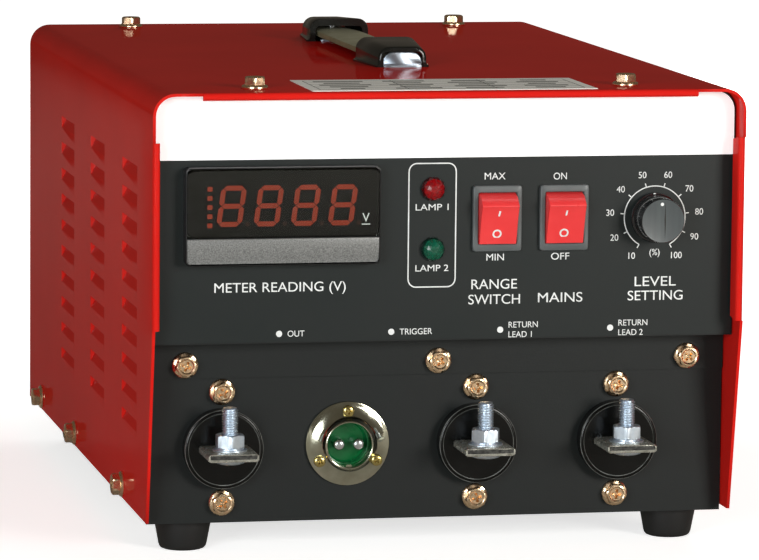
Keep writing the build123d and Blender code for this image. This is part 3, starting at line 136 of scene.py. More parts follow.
def finish(name, colour, patch, rough, grain, relief, patch_scale=60.0, run=(1, 1, 1), **sockets):
    """A material on the shared grain; relief is the grain's height in millimetres."""
    material = bpy.data.materials.new(name)
    material.use_nodes = True
    tree = material.node_tree
    shader = tree.nodes["Principled BSDF"]
    texture = tree.nodes.new("ShaderNodeGroup")
    texture.name = "grain"
    texture.node_tree = surface_grain
    for label, value in (
        ("Colour", seen(*colour)),
        ("Patch Colour", seen(*patch)),
        ("Patch Scale", patch_scale),
        ("Grain Scale", grain),
        ("Smoothest", rough[0]),
        ("Roughest", rough[1]),
        ("Run", run),
    ):
        texture.inputs[label].default_value = value
    bump = add_node(tree, "ShaderNodeBump", Strength=0.6, Distance=relief * MM)
    wire(
        tree,
        (texture.outputs["Height"], bump.inputs["Height"]),
        (texture.outputs["Colour"], shader.inputs["Base Color"]),
        (texture.outputs["Roughness"], shader.inputs["Roughness"]),
        (bump.outputs["Normal"], shader.inputs["Normal"]),
    )
    for label, value in sockets.items():
        shader.inputs[label.replace("_", " ")].default_value = value
    return material


def dress(material, *nodes):
    for node in nodes:
        mesh = frame["nodes"][node].data
        mesh.materials.clear()
        mesh.materials.append(material)


bare_sheet = finish(
    "bare_sheet", (0.70, 0.71, 0.71), (0.62, 0.63, 0.64), (0.28, 0.42), 900, 0.02, Metallic=1.0
)
dress(bare_sheet, "base_pan")

# Inner works: the capacitor bank with its boards and bus bars, the thyristor on its heat sink,
# the transformer, the charging resistor and the control board, carried by the pan and shut in by the cover.
laminate = finish("laminate", (0.62, 0.46, 0.29), (0.55, 0.39, 0.23), (0.35, 0.5), 1500, 0.03, run=(1, 6, 1))
sleeve = finish("can_sleeve", (0.16, 0.22, 0.42), (0.13, 0.19, 0.37), (0.2, 0.3), 700, 0.02)
bare_copper = finish(
    "bare_copper", (0.80, 0.50, 0.34), (0.68, 0.39, 0.25), (0.25, 0.4), 800, 0.02, Metallic=1.0
)
extruded = finish(
    "extruded_aluminium", (0.76, 0.76, 0.77), (0.69, 0.69, 0.71), (0.3, 0.4), 1200, 0.03,
    run=(6, 1, 6), Metallic=1.0,
)
glazed = finish("glazed_ceramic", (0.86, 0.84, 0.79), (0.80, 0.77, 0.71), (0.12, 0.2), 600, 0.01)
varnished = finish(
    "varnished_core", (0.23, 0.22, 0.22), (0.17, 0.16, 0.16), (0.35, 0.5), 2500, 0.1, run=(0.1, 1, 0.1)
)
taped = finish("taped_winding", (0.70, 0.47, 0.24), (0.60, 0.38, 0.18), (0.4, 0.55), 900, 0.08, run=(1, 1, 4))
resist = finish("solder_resist", (0.10, 0.38, 0.21), (0.08, 0.32, 0.18), (0.22, 0.32), 1400, 0.04)
moulded = finish("moulded_black", (0.13, 0.135, 0.14), (0.10, 0.105, 0.11), (0.42, 0.52), 2400, 0.03)
bright_zinc = finish(
    "bright_zinc", (0.93, 0.95, 0.97), (0.85, 0.87, 0.89), (0.16, 0.26), 1500, 0.015,
    patch_scale=300, Metallic=1.0,
)
dress(laminate, "insulating_boards", "capacitor_clamp")
dress(sleeve, "capacitors")
dress(bare_copper, "positive_bus", "negative_bus")
dress(extruded, "heat_sink")
dress(glazed, "thyristor", "charging_resistor")
dress(varnished, "transformer_core")
dress(taped, "transformer_winding")
dress(resist, "control_board")
dress(moulded, "bridge_rectifier", "lamp_bodies")
dress(bare_sheet, "resistor_stand", "divider_plate")
dress(bright_zinc, "bank_fasteners", "thyristor_clamp", "small_screws", "pot_body", "pot_shaft")

# Rear panel: black powder-coated sheet with the fan's slots, and in it the axial fan and the mains inlet.
# The fan hangs on four screws, and its moulded rotor runs on the spindle of the spider.
black_paint = finish(
    "black_paint", (0.07, 0.09, 0.092), (0.058, 0.075, 0.076), (0.42, 0.5), 1500, 0.05,
    patch_scale=40, Specular_IOR_Level=0.35,
)
dress(black_paint, "rear_panel", "lower_panel", "upper_panel")
dress(moulded, "fan_frame", "fan_rotor", "mains_inlet")

# Terminal bushings: turned black phenolic discs in the lower panel with a slot for the bar,
# polished on the face, with two narrow chamfers at the edge coloured light grey as a painted highlight.


def corners(node):
    """A node's lowest and highest corners in millimetres."""
    low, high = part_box(node)
    return low / MM, high / MM


def middle(node):
    """The middle of a node's box in millimetres."""
    return [(a + b) / 2 for a, b in zip(*corners(node))]


def circle(radius, count=72):
    angles = [2 * math.pi * k / count for k in range(count)]
    return [(radius * math.cos(a), radius * math.sin(a)) for a in angles]


def by_angle(width, height, corner, count=72):
    """A rounded rectangle whose points lie near a circle's points of the same numbers."""
    points = []
    for along, up in circle(1, count):
        reach = 1 / max(abs(along) / (width / 2), abs(up) / (height / 2))
        u, v = reach * along, reach * up
        over_u, over_v = abs(u) - (width / 2 - corner), abs(v) - (height / 2 - corner)
        if over_u > 0 and over_v > 0:
            shrink = corner / math.hypot(over_u, over_v)
            u = math.copysign(width / 2 - corner + over_u * shrink, u)
            v = math.copysign(height / 2 - corner + over_v * shrink, v)
        points.append((u, v))
    return points


def facing(points, x, y, z):
    return [Vector((x + u, y, z + v)) for u, v in points]


def skin(bm, rings, first_cap=True, last_cap=True, tag=0):
    """Quads from ring to ring, with flat caps on the ends."""
    rows = [[bm.verts.new(point) for point in ring] for ring in rings]
    faces = []
    for near, far in zip(rows, rows[1:]):
        for k in range(len(near)):
            faces.append(bm.faces.new((near[k - 1], near[k], far[k], far[k - 1])))
    if first_cap:
        faces.append(bm.faces.new(rows[0][::-1]))
    if last_cap:
        faces.append(bm.faces.new(rows[-1]))
    for face in faces:
        face.material_index = tag


def join_up(bm):
    """Merges points that lie together and turns the faces outwards."""
    bmesh.ops.remove_doubles(bm, verts=bm.verts, dist=1e-4)
    bmesh.ops.recalc_face_normals(bm, faces=bm.faces)


def drawn(name, bm):
    """A mesh from a bmesh, which is then let go."""
    mesh = bpy.data.meshes.new(name)
    bm.to_mesh(mesh)
    bm.free()
    return mesh


def put_in_scene(name, data):
    made = bpy.data.objects.new(name, data)
    bpy.context.scene.collection.objects.link(made)
    return made


def piece(name, bm, body, materials, nodes=(), crease=32, tidy=True):
    """Makes a mesh drawn in millimetres into a piece of the object that rides on a body."""
    if tidy:
        join_up(bm)
    bmesh.ops.scale(bm, vec=(MM, MM, MM), verts=bm.verts)
    mesh = drawn(name, bm)
    mesh.shade_smooth()
    mesh.set_sharp_from_angle(angle=math.radians(crease))
    for material in materials:
        mesh.materials.append(material)
    made = put_in_scene(name, mesh)
    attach(made, body)
    if nodes:
        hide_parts(*nodes)
    return made


panel_face = corners("lower_panel")[0].y
terminal_x = {name: middle(name + "_nut")[0] for name in ("gun", "base_1", "base_2")}
bar_low, bar_high = corners("terminal_bars")
bar_width, bar_height, bar_z = 25.0, bar_high.z - bar_low.z, middle("terminal_bars")[2]
slot_gap, slot_corner = 0.12, 0.6
disc_profile = [(19.6, 0.0), (19.6, 7.1), (19.3, 7.5), (18.6, 7.8), (17.95, 7.8), (17.6, 7.55), (17.2, 7.55)]
face_depth = disc_profile[-1][1]
# First ring, last ring and finish of each band of the disc, with the painted edge highlights as finish 1
disc_bands = ((0, 1, 0), (1, 2, 1), (2, 4, 0), (4, 5, 1), (5, 8, 0))
phenolic = finish(
    "black_phenolic", (0.03, 0.032, 0.031), (0.025, 0.027, 0.026), (0.16, 0.26), 900, 0.02,
    Specular_IOR_Level=0.3,
)
# Painted highlight: light grey on the chamfers, where the dark phenolic would catch the light
painted_edge_highlight = finish(
    "painted_edge_highlight", (0.46, 0.47, 0.46), (0.22, 0.23, 0.22), (0.3, 0.4), 900, 0.05, patch_scale=160
)
slot_outline = by_angle(bar_width + 2 * slot_gap, bar_height + 2 * slot_gap, slot_corner)
bushings = bmesh.new()
for x in terminal_x.values():
    rings = [facing(circle(r), x, panel_face - d, bar_z) for r, d in disc_profile]
    rings += [facing(slot_outline, x, panel_face - d, bar_z) for d in (face_depth, 0.0)]
    for first, last, tag in disc_bands:
        at_end = last == len(rings) - 1
        skin(bushings, rings[first : last + 1], first_cap=False, last_cap=at_end, tag=tag)
piece("bushing_discs", bushings, "case", [phenolic, painted_edge_highlight], ["terminal_bushings"])

# Terminal bars: flat tinned bar sheared to length, so that its front edge is dull and torn
# between bright borders. Each comes through its bushing and carries a bolt.
tinned = finish(
    "tinned_bar", (0.84, 0.84, 0.80), (0.52, 0.52, 0.48), (0.2, 0.38), 700, 0.05,
    patch_scale=380, Metallic=0.7,
)
sheared = finish(
    "sheared_edge", (0.34, 0.34, 0.33), (0.16, 0.16, 0.16), (0.4, 0.6), 1600, 0.2,
    patch_scale=700, Metallic=0.8,
)
bar_length, bar_corner = 78.0, 0.25
# Inset, distance back from the front and rise of each ring, from the rear end to the torn edge
edge_steps = [
    (0.0, bar_length, 0.0), (0.0, 0.5, 0.0), (0.12, 0.15, 0.0), (0.35, 0.0, 0.1), (0.95, 0.0, 0.4),
    (1.05, 0.25, 0.4),
]
bars = bmesh.new()
for x in terminal_x.values():
    rings = []
    for inset, back, rise in edge_steps:
        outline = by_angle(bar_width - 2 * inset, bar_height - 2 * inset, bar_corner)
        rings.append(facing(outline, x, bar_low.y + back, bar_z + rise))
    skin(bars, rings[:-1], last_cap=False)
    skin(bars, rings[-2:], first_cap=False, tag=1)
piece("output_bars", bars, "case", [tinned, sheared], ["terminal_bars"])

# Terminal bolts: M8 with a low domed head under the bar and a rolled thread standing up through it.
# Zinc plated, satin and a little blue.
satin_zinc = finish(
    "satin_zinc", (0.92, 0.96, 1.0), (0.82, 0.87, 0.92), (0.36, 0.5), 1500, 0.015,
    patch_scale=300, Metallic=1.0,
)
thread_pitch, thread_depth, lead_in, lead_slope = 1.25, 0.75, 0.8, 0.9
thread_steps = [(0.0, 0.0), (0.1, 0.0), (0.45, 1.0), (0.6, 1.0)]
stud_y, stud_top, stud_radius = middle("gun_nut")[1], corners("terminal_studs")[1].z, 4.0
head_profile = [(3.0, -4.3), (5.2, -3.9), (7.0, -2.9), (8.0, -1.6), (8.3, -0.6), (8.1, 0.0)]
head_height, profile_height = 2.7, 4.3


def upright(points, x, y, z):
    return [Vector((x + u, y + v, z)) for u, v in points]


def thread(bm, radius, x, y, bottom, top, count=28):
    """A rolled thread: each row of points climbs one pitch in a turn and joins the row one pitch up."""
    turns = int((top - bottom) / thread_pitch) + 2
    rows = []
    for turn in range(-1, turns):
        for step, depth in thread_steps:
            row = []
            for k in range(count):
                angle = 2 * math.pi * k / count
                level = bottom + (turn + step + k / count) * thread_pitch
                level = min(max(level, bottom), top)
                reach = radius - thread_depth * depth - max(0.0, level - (top - lead_in)) * lead_slope
                row.append(bm.verts.new((x + reach * math.cos(angle), y + reach * math.sin(angle), level)))
            rows.append(row)
    stride = len(thread_steps)
    for j in range(len(rows) - 1):
        for k in range(count - 1):
            bm.faces.new((rows[j][k], rows[j][k + 1], rows[j + 1][k + 1], rows[j + 1][k]))
        if j + 1 + stride < len(rows):
            bm.faces.new((rows[j][-1], rows[j + stride][0], rows[j + stride + 1][0], rows[j + 1][-1]))
    bm.faces.new(rows[-1])


bolts = bmesh.new()
for x in terminal_x.values():
    thread(bolts, stud_radius, x, stud_y, bar_low.z, stud_top)
    head = [(r, bar_low.z + h * head_height / profile_height) for r, h in head_profile]
    skin(bolts, [upright(circle(r, 48), x, stud_y, z) for r, z in head])
bmesh.ops.dissolve_degenerate(bolts, edges=bolts.edges, dist=1e-4)
piece("terminal_bolts", bolts, "case", [satin_zinc], ["terminal_studs"], crease=18)

# Nuts and washers on the bolts: chamfered hexagon nut on a flat washer, satin zinc.
# They turn and rise together as a cable lug is put under them.
nut_across, nut_corner, nut_chamfer = 13.0, 7.45, 0.55
nut_turns = (30.0, 12.0, 20.0)
nut_mouth, nut_bore, mouth_depth = 4.6, 4.06, 0.5
rim_radius, collar_radius, washer_bore = 8.5, 6.6, 4.35


def hexagon(across, limit, turned=0.0, count=72):
    """A hexagon turned by degrees and kept inside a circle of radius limit, as a chamfer leaves it."""
    points = []
    for k in range(count):
        angle = 2 * math.pi * k / count
        reach = across / 2 / math.cos((angle % (math.pi / 3)) - math.pi / 6)
        reach = min(reach, limit)
        angle += math.radians(turned)
        points.append((reach * math.cos(angle), reach * math.sin(angle)))
    return points


for (name, x), turned in zip(terminal_x.items(), nut_turns):
    low, high = corners(name + "_nut")
    nut = bmesh.new()
    levels = [
        (nut_across / 2 + 0.05, low.z),
        (nut_across / 2 + 0.45, low.z + 0.25),
        (nut_corner, low.z + nut_chamfer),
        (nut_corner, high.z - nut_chamfer),
        (nut_across / 2 + 0.45, high.z - 0.25),
        (nut_across / 2 - 0.1, high.z),
    ]
    bore = [(nut_mouth, high.z), (nut_bore, high.z - mouth_depth), (nut_bore, low.z)]
    rings = [upright(hexagon(nut_across, limit, turned), x, stud_y, z) for limit, z in levels]
    rings += [upright(circle(r), x, stud_y, z) for r, z in bore]
    skin(nut, rings + rings[:1], False, False)
    piece(name + "_terminal_nut", nut, name + "_nut", [satin_zinc], [name + "_nut"], crease=25)
    low, high = corners(name + "_washer")
    washer = bmesh.new()
    thick = high.z - low.z
    outline = [
        (rim_radius - 0.3, 0.0), (rim_radius, 0.25), (rim_radius, 0.75), (rim_radius - 0.3, 0.95),
        (collar_radius, 0.95), (collar_radius, thick - 0.1), (collar_radius - 0.1, thick),
        (washer_bore, thick), (washer_bore, 0.0), (rim_radius - 0.3, 0.0),
    ]
    skin(washer, [upright(circle(r), x, stud_y, low.z + h) for r, h in outline], False, False)
    piece(name + "_flat_washer", washer, name + "_washer", [satin_zinc], [name + "_washer"])

# Gun switch socket: a pressed and plated dish on the lower panel, held by three brass screws,
# with a moulded green insert that carries two bullet-nosed pins, and a key at the bottom of its mouth.
socket_x, _, socket_z = middle("socket_shell")
dish = [
    (20.4, 0.0), (21.0, 0.4), (21.0, 1.0), (20.8, 1.35), (20.3, 1.5), (19.6, 1.55), (18.2, 2.0), (16.6, 2.7),
    (15.0, 3.5), (13.7, 4.5), (12.8, 5.5), (12.3, 6.4), (11.95, 6.85), (11.6, 7.0), (11.2, 6.85), (11.0, 6.3),
    (11.0, -6.0), (13.0, -6.0), (13.0, 0.0), (20.4, 0.0),
]
key = [(-1.6, -11.6), (1.6, -11.6), (1.5, -10.4), (0.9, -9.9), (-0.9, -9.9), (-1.5, -10.4)]
key_back, key_front = 0.5, 5.4
plated = finish(
    "plated_dish", (0.84, 0.84, 0.77), (0.73, 0.73, 0.65), (0.08, 0.18), 500, 0.015,
    patch_scale=120, Metallic=1.0,
)


def slab(bm, outline, x, z, back, front):
    """A flat shape that faces the front, between two depths."""
    skin(bm, [facing(outline, x, y, z) for y in (back, front)])


shell = bmesh.new()
skin(shell, [facing(circle(r, 96), socket_x, panel_face - d, socket_z) for r, d in dish], False, False)
slab(shell, key, socket_x, socket_z, panel_face - key_back, panel_face - key_front)
piece("socket_dish", shell, "case", [plated], ["socket_shell"])

green_moulding = finish("green_moulding", (0.03, 0.43, 0.22), (0.02, 0.34, 0.17), (0.22, 0.34), 900, 0.04)
insert_face = corners("socket_insert")[0].y
insert_profile = [(10.95, 8.0), (10.95, 0.2), (10.7, 0.0), (10.4, 0.1), (10.1, 5.6), (9.5, 6.2)]
insert = bmesh.new()
skin(insert, [facing(circle(r), socket_x, insert_face + d, socket_z) for r, d in insert_profile])
piece("socket_moulding", insert, "case", [green_moulding], ["socket_insert"])

pin_low, pin_high = corners("socket_pins")
pin_offset = (pin_high.x - pin_low.x) / 2 - 3.2
pin_profile = [(2.8, 12.0), (2.8, 1.8), (2.6, 0.9), (2.1, 0.35), (1.3, 0.08), (0.4, 0.0)]
pins = bmesh.new()
for x in (socket_x - pin_offset, socket_x + pin_offset):
    skin(pins, [facing(circle(r, 32), x, pin_low.y + d, socket_z) for r, d in pin_profile])
piece("contact_pins", pins, "case", [bright_zinc], ["socket_pins"])


def worked_out(holder):
    """The plain mesh that an object's modifiers or letters give; the object is then taken away."""
    depsgraph = bpy.context.evaluated_depsgraph_get()
    mesh = bpy.data.meshes.new_from_object(holder.evaluated_get(depsgraph), depsgraph=depsgraph)
    bpy.data.objects.remove(holder)
    return mesh


def opened(mesh):
    """A bmesh of a mesh."""
    bm = bmesh.new()
    bm.from_mesh(mesh)
    return bm


def oblong(width, height):
    return [(su * width / 2, sv * height / 2) for su, sv in ((-1, -1), (1, -1), (1, 1), (-1, 1))]


def cross_recessed(head, level, width, reach, depth):
    """A screw head, drawn along +Z, with a cross recess cut down from a level in its top."""
    narrowing, clear = 0.45, 0.3
    recess = bmesh.new()
    for spans in ((2 * reach, 2 * width), (2 * width, 2 * reach)):
        mouth = oblong(*spans)
        floor = [(narrowing * u, narrowing * v) for u, v in mouth]
        skin(recess, [upright(floor, 0, 0, -depth), upright(mouth, 0, 0, clear)])
    bmesh.ops.translate(recess, vec=(0, 0, level), verts=recess.verts)
    made = []
    for bm in (head, recess):
        join_up(bm)
        made.append(put_in_scene("cutting", drawn("cutting", bm)))
    difference = made[0].modifiers.new("cut", "BOOLEAN")
    difference.object = made[1]
    difference.solver = "EXACT"
    difference.use_self = True
    result = opened(worked_out(made[0]))
    bpy.data.objects.remove(made[1])
    return result


# Set in place: a tree that stands a part on each point, turned as the point says
set_in_place, taken, given = node_tree(
    "set_in_place",
    "GeometryNodeTree",
    [("Places", "Geometry"), ("Part", "Object"), ("Finish", "Material")],
    [("Set Parts", "Geometry")],
)
part_mesh = add_node(set_in_place, "GeometryNodeObjectInfo")
turn = add_node(set_in_place, "GeometryNodeInputNamedAttribute", Name="turn")
turn.data_type = "FLOAT_VECTOR"
rotation = add_node(set_in_place, "FunctionNodeEulerToRotation")
stand = add_node(set_in_place, "GeometryNodeInstanceOnPoints")
realize = add_node(set_in_place, "GeometryNodeRealizeInstances")
coat = add_node(set_in_place, "GeometryNodeSetMaterial")
wire(
    set_in_place,
    (taken.outputs["Places"], stand.inputs["Points"]),
    (taken.outputs["Part"], part_mesh.inputs["Object"]),
    (part_mesh.outputs["Geometry"], stand.inputs["Instance"]),
    (turn.outputs["Attribute"], rotation.inputs["Euler"]),
    (rotation.outputs["Rotation"], stand.inputs["Rotation"]),
    (stand.outputs["Instances"], realize.inputs["Geometry"]),
    (realize.outputs["Geometry"], coat.inputs["Geometry"]),
    (taken.outputs["Finish"], coat.inputs["Material"]),
    (coat.outputs["Geometry"], given.inputs["Set Parts"]),
)


def run_tree(tree, start, values):
    """The plain mesh that a tree makes of a starting mesh, with the tree's inputs set by name."""
    holder = put_in_scene("holder", start)
    modifier = holder.modifiers.new("tree", "NODES")
    modifier.node_group = tree
    for item in tree.interface.items_tree:
        if item.item_type == "SOCKET" and item.name in values:
            modifier[item.identifier] = values[item.name]
    return worked_out(holder)


def repeat(part, places, material):
    """Copies of a part, drawn along +Z, at places given as a point and a turn in degrees about X, Y and Z."""
    mesh = drawn("part", part)
    mesh.shade_smooth()
    source = put_in_scene("part", mesh)
    points = bpy.data.meshes.new("places")
    points.from_pydata([point for point, _ in places], [], [])
    turns = points.attributes.new("turn", "FLOAT_VECTOR", "POINT")
    for item, (_, angles) in zip(turns.data, places):
        item.vector = [math.radians(a) for a in angles]
    result = opened(run_tree(set_in_place, points, {"Part": source, "Finish": material}))
    bpy.data.objects.remove(source)
    return result


brass = finish("brass_screw", (0.84, 0.77, 0.50), (0.75, 0.68, 0.42), (0.18, 0.3), 1500, 0.02, Metallic=1.0)
screw_circle, screw_stand = 16.5, 3.2
pan_profile = [(2.9, -1.2), (2.9, 0.5), (2.75, 0.95), (2.3, 1.3), (1.6, 1.5)]
pan_head = bmesh.new()
skin(pan_head, [upright(circle(r, 32), 0, 0, h) for r, h in pan_profile])
pan_head = cross_recessed(pan_head, level=1.45, width=0.42, reach=1.75, depth=1.0)
screw_places = []
for angle in (90, 210, 330):
    x = socket_x + screw_circle * math.cos(math.radians(angle))
    z = socket_z + screw_circle * math.sin(math.radians(angle))
    screw_places.append(((x, panel_face - screw_stand, z), (90, angle, 0)))
pan_heads = repeat(pan_head, screw_places, brass)
piece("socket_screw_heads", pan_heads, "case", [brass], ["socket_screws"])

# Overlay: a printed film stuck on the upper panel, slate grey below and white along the top,
# with plain legends, a dial scale and a frame line round the two lamps.
overlay_low = corners("overlay")[0]
overlay_face = overlay_low.y
band_bottom = overlay_low.z + 89.3
band_white = seen(0.93, 0.935, 0.94)
WHITE, BLACK = (1.0, 1.0, 1.0, 1.0), (0.0, 0.0, 0.0, 1.0)
film = finish(
    "overlay_film", (0.088, 0.115, 0.116), (0.078, 0.102, 0.103), (0.36, 0.44), 2600, 0.02,
    patch_scale=30, Specular_IOR_Level=0.35, Emission_Strength=0.3,
)
tree = film.node_tree
shader = tree.nodes["Principled BSDF"]
place = add_node(tree, "ShaderNodeTexCoord")
split = add_node(tree, "ShaderNodeSeparateXYZ")
above = add_node(tree, "ShaderNodeMath", "GREATER_THAN")
above.inputs[1].default_value = band_bottom * MM
in_band = above.outputs["Value"]
slate = tree.nodes["grain"].outputs["Colour"]
# The band is printed white and, as painted light, also glows white
wire(
    tree,
    (place.outputs["Object"], split.inputs["Vector"]),
    (split.outputs["Z"], above.inputs[0]),
    (mixed_colour(tree, in_band, slate, band_white), shader.inputs["Base Color"]),
    (mixed_colour(tree, in_band, BLACK, WHITE), shader.inputs["Emission Color"]),
)
dress(film, "overlay")

ink = finish("white_ink", (0.90, 0.91, 0.91), (0.84, 0.85, 0.85), (0.45, 0.55), 3000, 0.01)
ink_film, letter_half, letter_share = 0.06, 0.5, 0.95
prints = bmesh.new()


def lettering(words):
    """A word's mesh in the built-in letter, flat on XY and centred, with its two ends."""
    curve = bpy.data.curves.new("letters", "FONT")
    curve.body = words
    curve.align_x = "CENTER"
    curve.extrude = letter_half
    mesh = worked_out(put_in_scene("letters", curve))
    xs = [v.co.x for v in mesh.vertices]
    return mesh, min(xs), max(xs)


capital_height = max(v.co.y for v in lettering("H")[0].vertices)


def legend(bm, words, x, z, cap, width=None, left=False, face=overlay_face):
    """Prints a word on a front face: its middle, or its left end, at x and z, with capitals cap high."""
    mesh, start, end = lettering(words)
    tall = cap / capital_height
    wide = width / (end - start) if width else tall * letter_share
    anchor = start if left else (start + end) / 2
    first = len(bm.verts)
    bm.from_mesh(mesh)
    bm.verts.ensure_lookup_table()
    for vert in bm.verts[first:]:
        u, v, w = vert.co
        vert.co = (x + (u - anchor) * wide, face - (w + letter_half) * ink_film, z + v * tall - cap / 2)


for words, x, up, cap, width in (
    ("METER READING (V)", -82.6, 26.9, 4.6, 65.0),
    ("LAMP 1", -7.4, 65.0, 3.1, 16.5),
    ("LAMP 2", -7.2, 35.0, 3.1, 16.5),
    ("MAX", 24.0, 79.9, 3.3, 10.5),
    ("MIN", 24.5, 39.9, 3.3, 8.8),
    ("RANGE", 24.2, 26.6, 4.7, 23.0),
    ("SWITCH", 24.3, 19.1, 4.7, 26.0),
    ("ON", 56.8, 79.5, 3.3, 6.7),
    ("OFF", 57.3, 39.9, 3.3, 9.2),
    ("MAINS", 57.6, 19.5, 4.7, 22.5),
    ("LEVEL", 105.8, 26.7, 4.7, 21.0),
    ("SETTING", 105.9, 19.7, 4.7, 28.0),
):
    legend(prints, words, x, overlay_low.z + up, cap, width)


def mark(bm, outline, x, z):
    """A flat printed shape on the overlay."""
    slab(bm, outline, x, z, overlay_face, overlay_face - ink_film)


dot_level, dot_radius, words_from_dot, line_pitch, small_cap = overlay_low.z + 3.9, 1.55, 4.2, 4.8, 2.9
for x, lines in (
    (-83.0, ["OUT"]),
    (-27.2, ["TRIGGER"]),
    (27.5, ["RETURN", "LEAD 1"]),
    (83.2, ["RETURN", "LEAD 2"]),
):
    mark(prints, circle(dot_radius, 32), x, dot_level)
    for k, words in enumerate(lines):
        z = dot_level + line_pitch * ((len(lines) - 1) / 2 - k)
        legend(prints, words, x + words_from_dot, z, small_cap, left=True)

# Frame line round the two lamps
frame_x, frame_z, frame_stroke, frame_points = -7.3, overlay_low.z + 56.1, 0.6, 288
frame_width, frame_height, frame_corner = 24.2, 61.4, 4.3
outlines = []
for inset in (0.0, frame_stroke):
    width, height = frame_width - 2 * inset, frame_height - 2 * inset
    outlines.append(by_angle(width, height, frame_corner - inset, frame_points))
outer, inner = outlines
rings = [
    facing(outline, frame_x, overlay_face - lift, frame_z)
    for outline, lift in ((outer, 0.0), (outer, ink_film), (inner, ink_film), (inner, 0.0), (outer, 0.0))
]
skin(prints, rings, False, False)

# Dial scale round the knob: an arc, ten ticks and the numbers 10 to 100
knob_low, knob_high = corners("charge_knob")
knob_x, _, knob_z = middle("charge_knob")
scale_radius, scale_stroke, scale_sweep, arc_steps = 15.5, 0.5, 150.0, 60
tick_length, tick_count = 2.0, 10
numbers_wide, numbers_high, number_cap = 22.8, 21.9, 3.1
arc = [math.radians(90 + scale_sweep - 2 * scale_sweep * k / arc_steps) for k in range(arc_steps + 1)]
inside, outside = scale_radius - scale_stroke / 2, scale_radius + scale_stroke / 2
for first, second in zip(arc, arc[1:]):
    ring = []
    for radius, angle in ((outside, first), (outside, second), (inside, second), (inside, first)):
        ring.append((radius * math.cos(angle), radius * math.sin(angle)))
    mark(prints, ring, knob_x, knob_z)


def tile(bm, outline, x, y, bottom, top):
    """A flat shape that faces up, between two levels."""
    skin(bm, [upright(outline, x, y, z) for z in (bottom, top)])


tick = bmesh.new()
tile(tick, oblong(tick_length, scale_stroke), scale_radius + tick_length / 2, 0, 0, ink_film)
tick_places = []
for k in range(tick_count):
    angle = 90 + scale_sweep - k * 2 * scale_sweep / (tick_count - 1)
    tick_places.append(((knob_x, overlay_face, knob_z), (90, -angle, 0)))
    x = knob_x + numbers_wide * math.cos(math.radians(angle))
    z = knob_z + numbers_high * math.sin(math.radians(angle))
    legend(prints, str(10 * (k + 1)), x, z, number_cap)
legend(prints, "(%)", knob_x + 0.2, knob_z - 17.3, number_cap)
piece("panel_legends", prints, "case", [ink], crease=40)
piece("dial_ticks", repeat(tick, tick_places, ink), "case", [ink])

# Panel meter: moulded black case with a smoked window over four red digits and a column of level lights,
# and a metallic trim strip below it, left without print.
meter_low, meter_high = corners("meter_body")
meter_front, meter_z = meter_low.y, middle("meter_body")[2]
window_x = middle("meter_window")[0]
bezel_width, bezel_height, bezel_corner, well_corner = 96.0, meter_high.z - meter_low.z, 2.5, 1.8
lip, trim_share, well_depth = 0.5, 13.0, 0.4
pane_width = bezel_width - 2 * lip
pane_low, pane_high = meter_low.z + lip + trim_share, meter_high.z - lip
pane_z, pane_height, pane_corner = (pane_low + pane_high) / 2, pane_high - pane_low, 1.6
meter_black = finish("meter_moulding", (0.09, 0.095, 0.10), (0.075, 0.08, 0.085), (0.3, 0.38), 2200, 0.02)


def inset_rings(width, height, corner, z, steps):
    """Rings of a rounded rectangle on the meter, each drawn in by an inset and set at a depth."""
    rings = []
    for inset, y in steps:
        outline = by_angle(width - 2 * inset, height - 2 * inset, corner - inset, 144)
        rings.append(facing(outline, window_x, y, z))
    return rings


rounding = [(0.0, overlay_face), (0.0, meter_front + 0.5), (0.12, meter_front + 0.15), (0.35, meter_front)]
well = [(0.0, meter_front), (0.0, overlay_face - well_depth)]
rings = inset_rings(bezel_width, bezel_height, bezel_corner, meter_z, rounding)
rings += inset_rings(pane_width, bezel_height - 2 * lip, well_corner, meter_z, well)
meter = bmesh.new()
skin(meter, rings)
piece("meter_case", meter, "case", [meter_black], ["meter_body"])

digit_glow = finish(
    "red_digits", (0.60, 0.17, 0.12), (0.54, 0.15, 0.10), (0.4, 0.5), 1800, 0.01,
    Emission_Color=seen(0.92, 0.36, 0.25), Emission_Strength=1.3,
)
display_dark = finish("display_face", (0.085, 0.09, 0.078), (0.07, 0.075, 0.065), (0.4, 0.5), 1500, 0.0)
# The unlit decimal points glow faintly red: painted light, as they are no lamps
points_painted_glow = finish(
    "unlit_points_painted_glow", (0.42, 0.24, 0.19), (0.38, 0.21, 0.17), (0.4, 0.5), 1800, 0.0,
    Emission_Color=(0.15, 0.05, 0.03, 1.0), Emission_Strength=0.6,
)
# The unit's white print glows strongly, painted light that makes it read bright behind the smoked window
unit_ink_painted_glow = finish(
    "unit_ink_painted_glow", (0.9, 0.9, 0.9), (0.85, 0.85, 0.85), (0.45, 0.55), 3000, 0.01,
    Emission_Color=WHITE, Emission_Strength=3.2,
)
digit_plane, lit_film = overlay_face - 3.6, 0.08
board = bmesh.new()
slab(board, by_angle(pane_width - 1.0, pane_height - 1.0, 0.5), window_x, pane_z, overlay_face, digit_plane)
piece("display_face", board, "case", [display_dark], ["meter_display"])
digit_height, digit_width, bar_stroke, bar_gap, digit_lean = 20.0, 10.1, 2.4, 0.2, 0.14
digits_x, digit_pitch, digit_level = window_x + 2.3, 18.3, meter_z + 5.0
point_right, point_radius = 7.9, 1.15
lights_x, lights_bottom, light_pitch, light_count = window_x - 35.8, digit_level - 9.4, 4.45, 5
unit_x, unit_level, unit_cap, underline_level = window_x + 41.2, digit_level - 6.3, 4.2, digit_level - 9.6


def lit(bm, outline, x, z):
    """A lit shape on the display's face."""
    slab(bm, outline, x, z, digit_plane, digit_plane - lit_film)


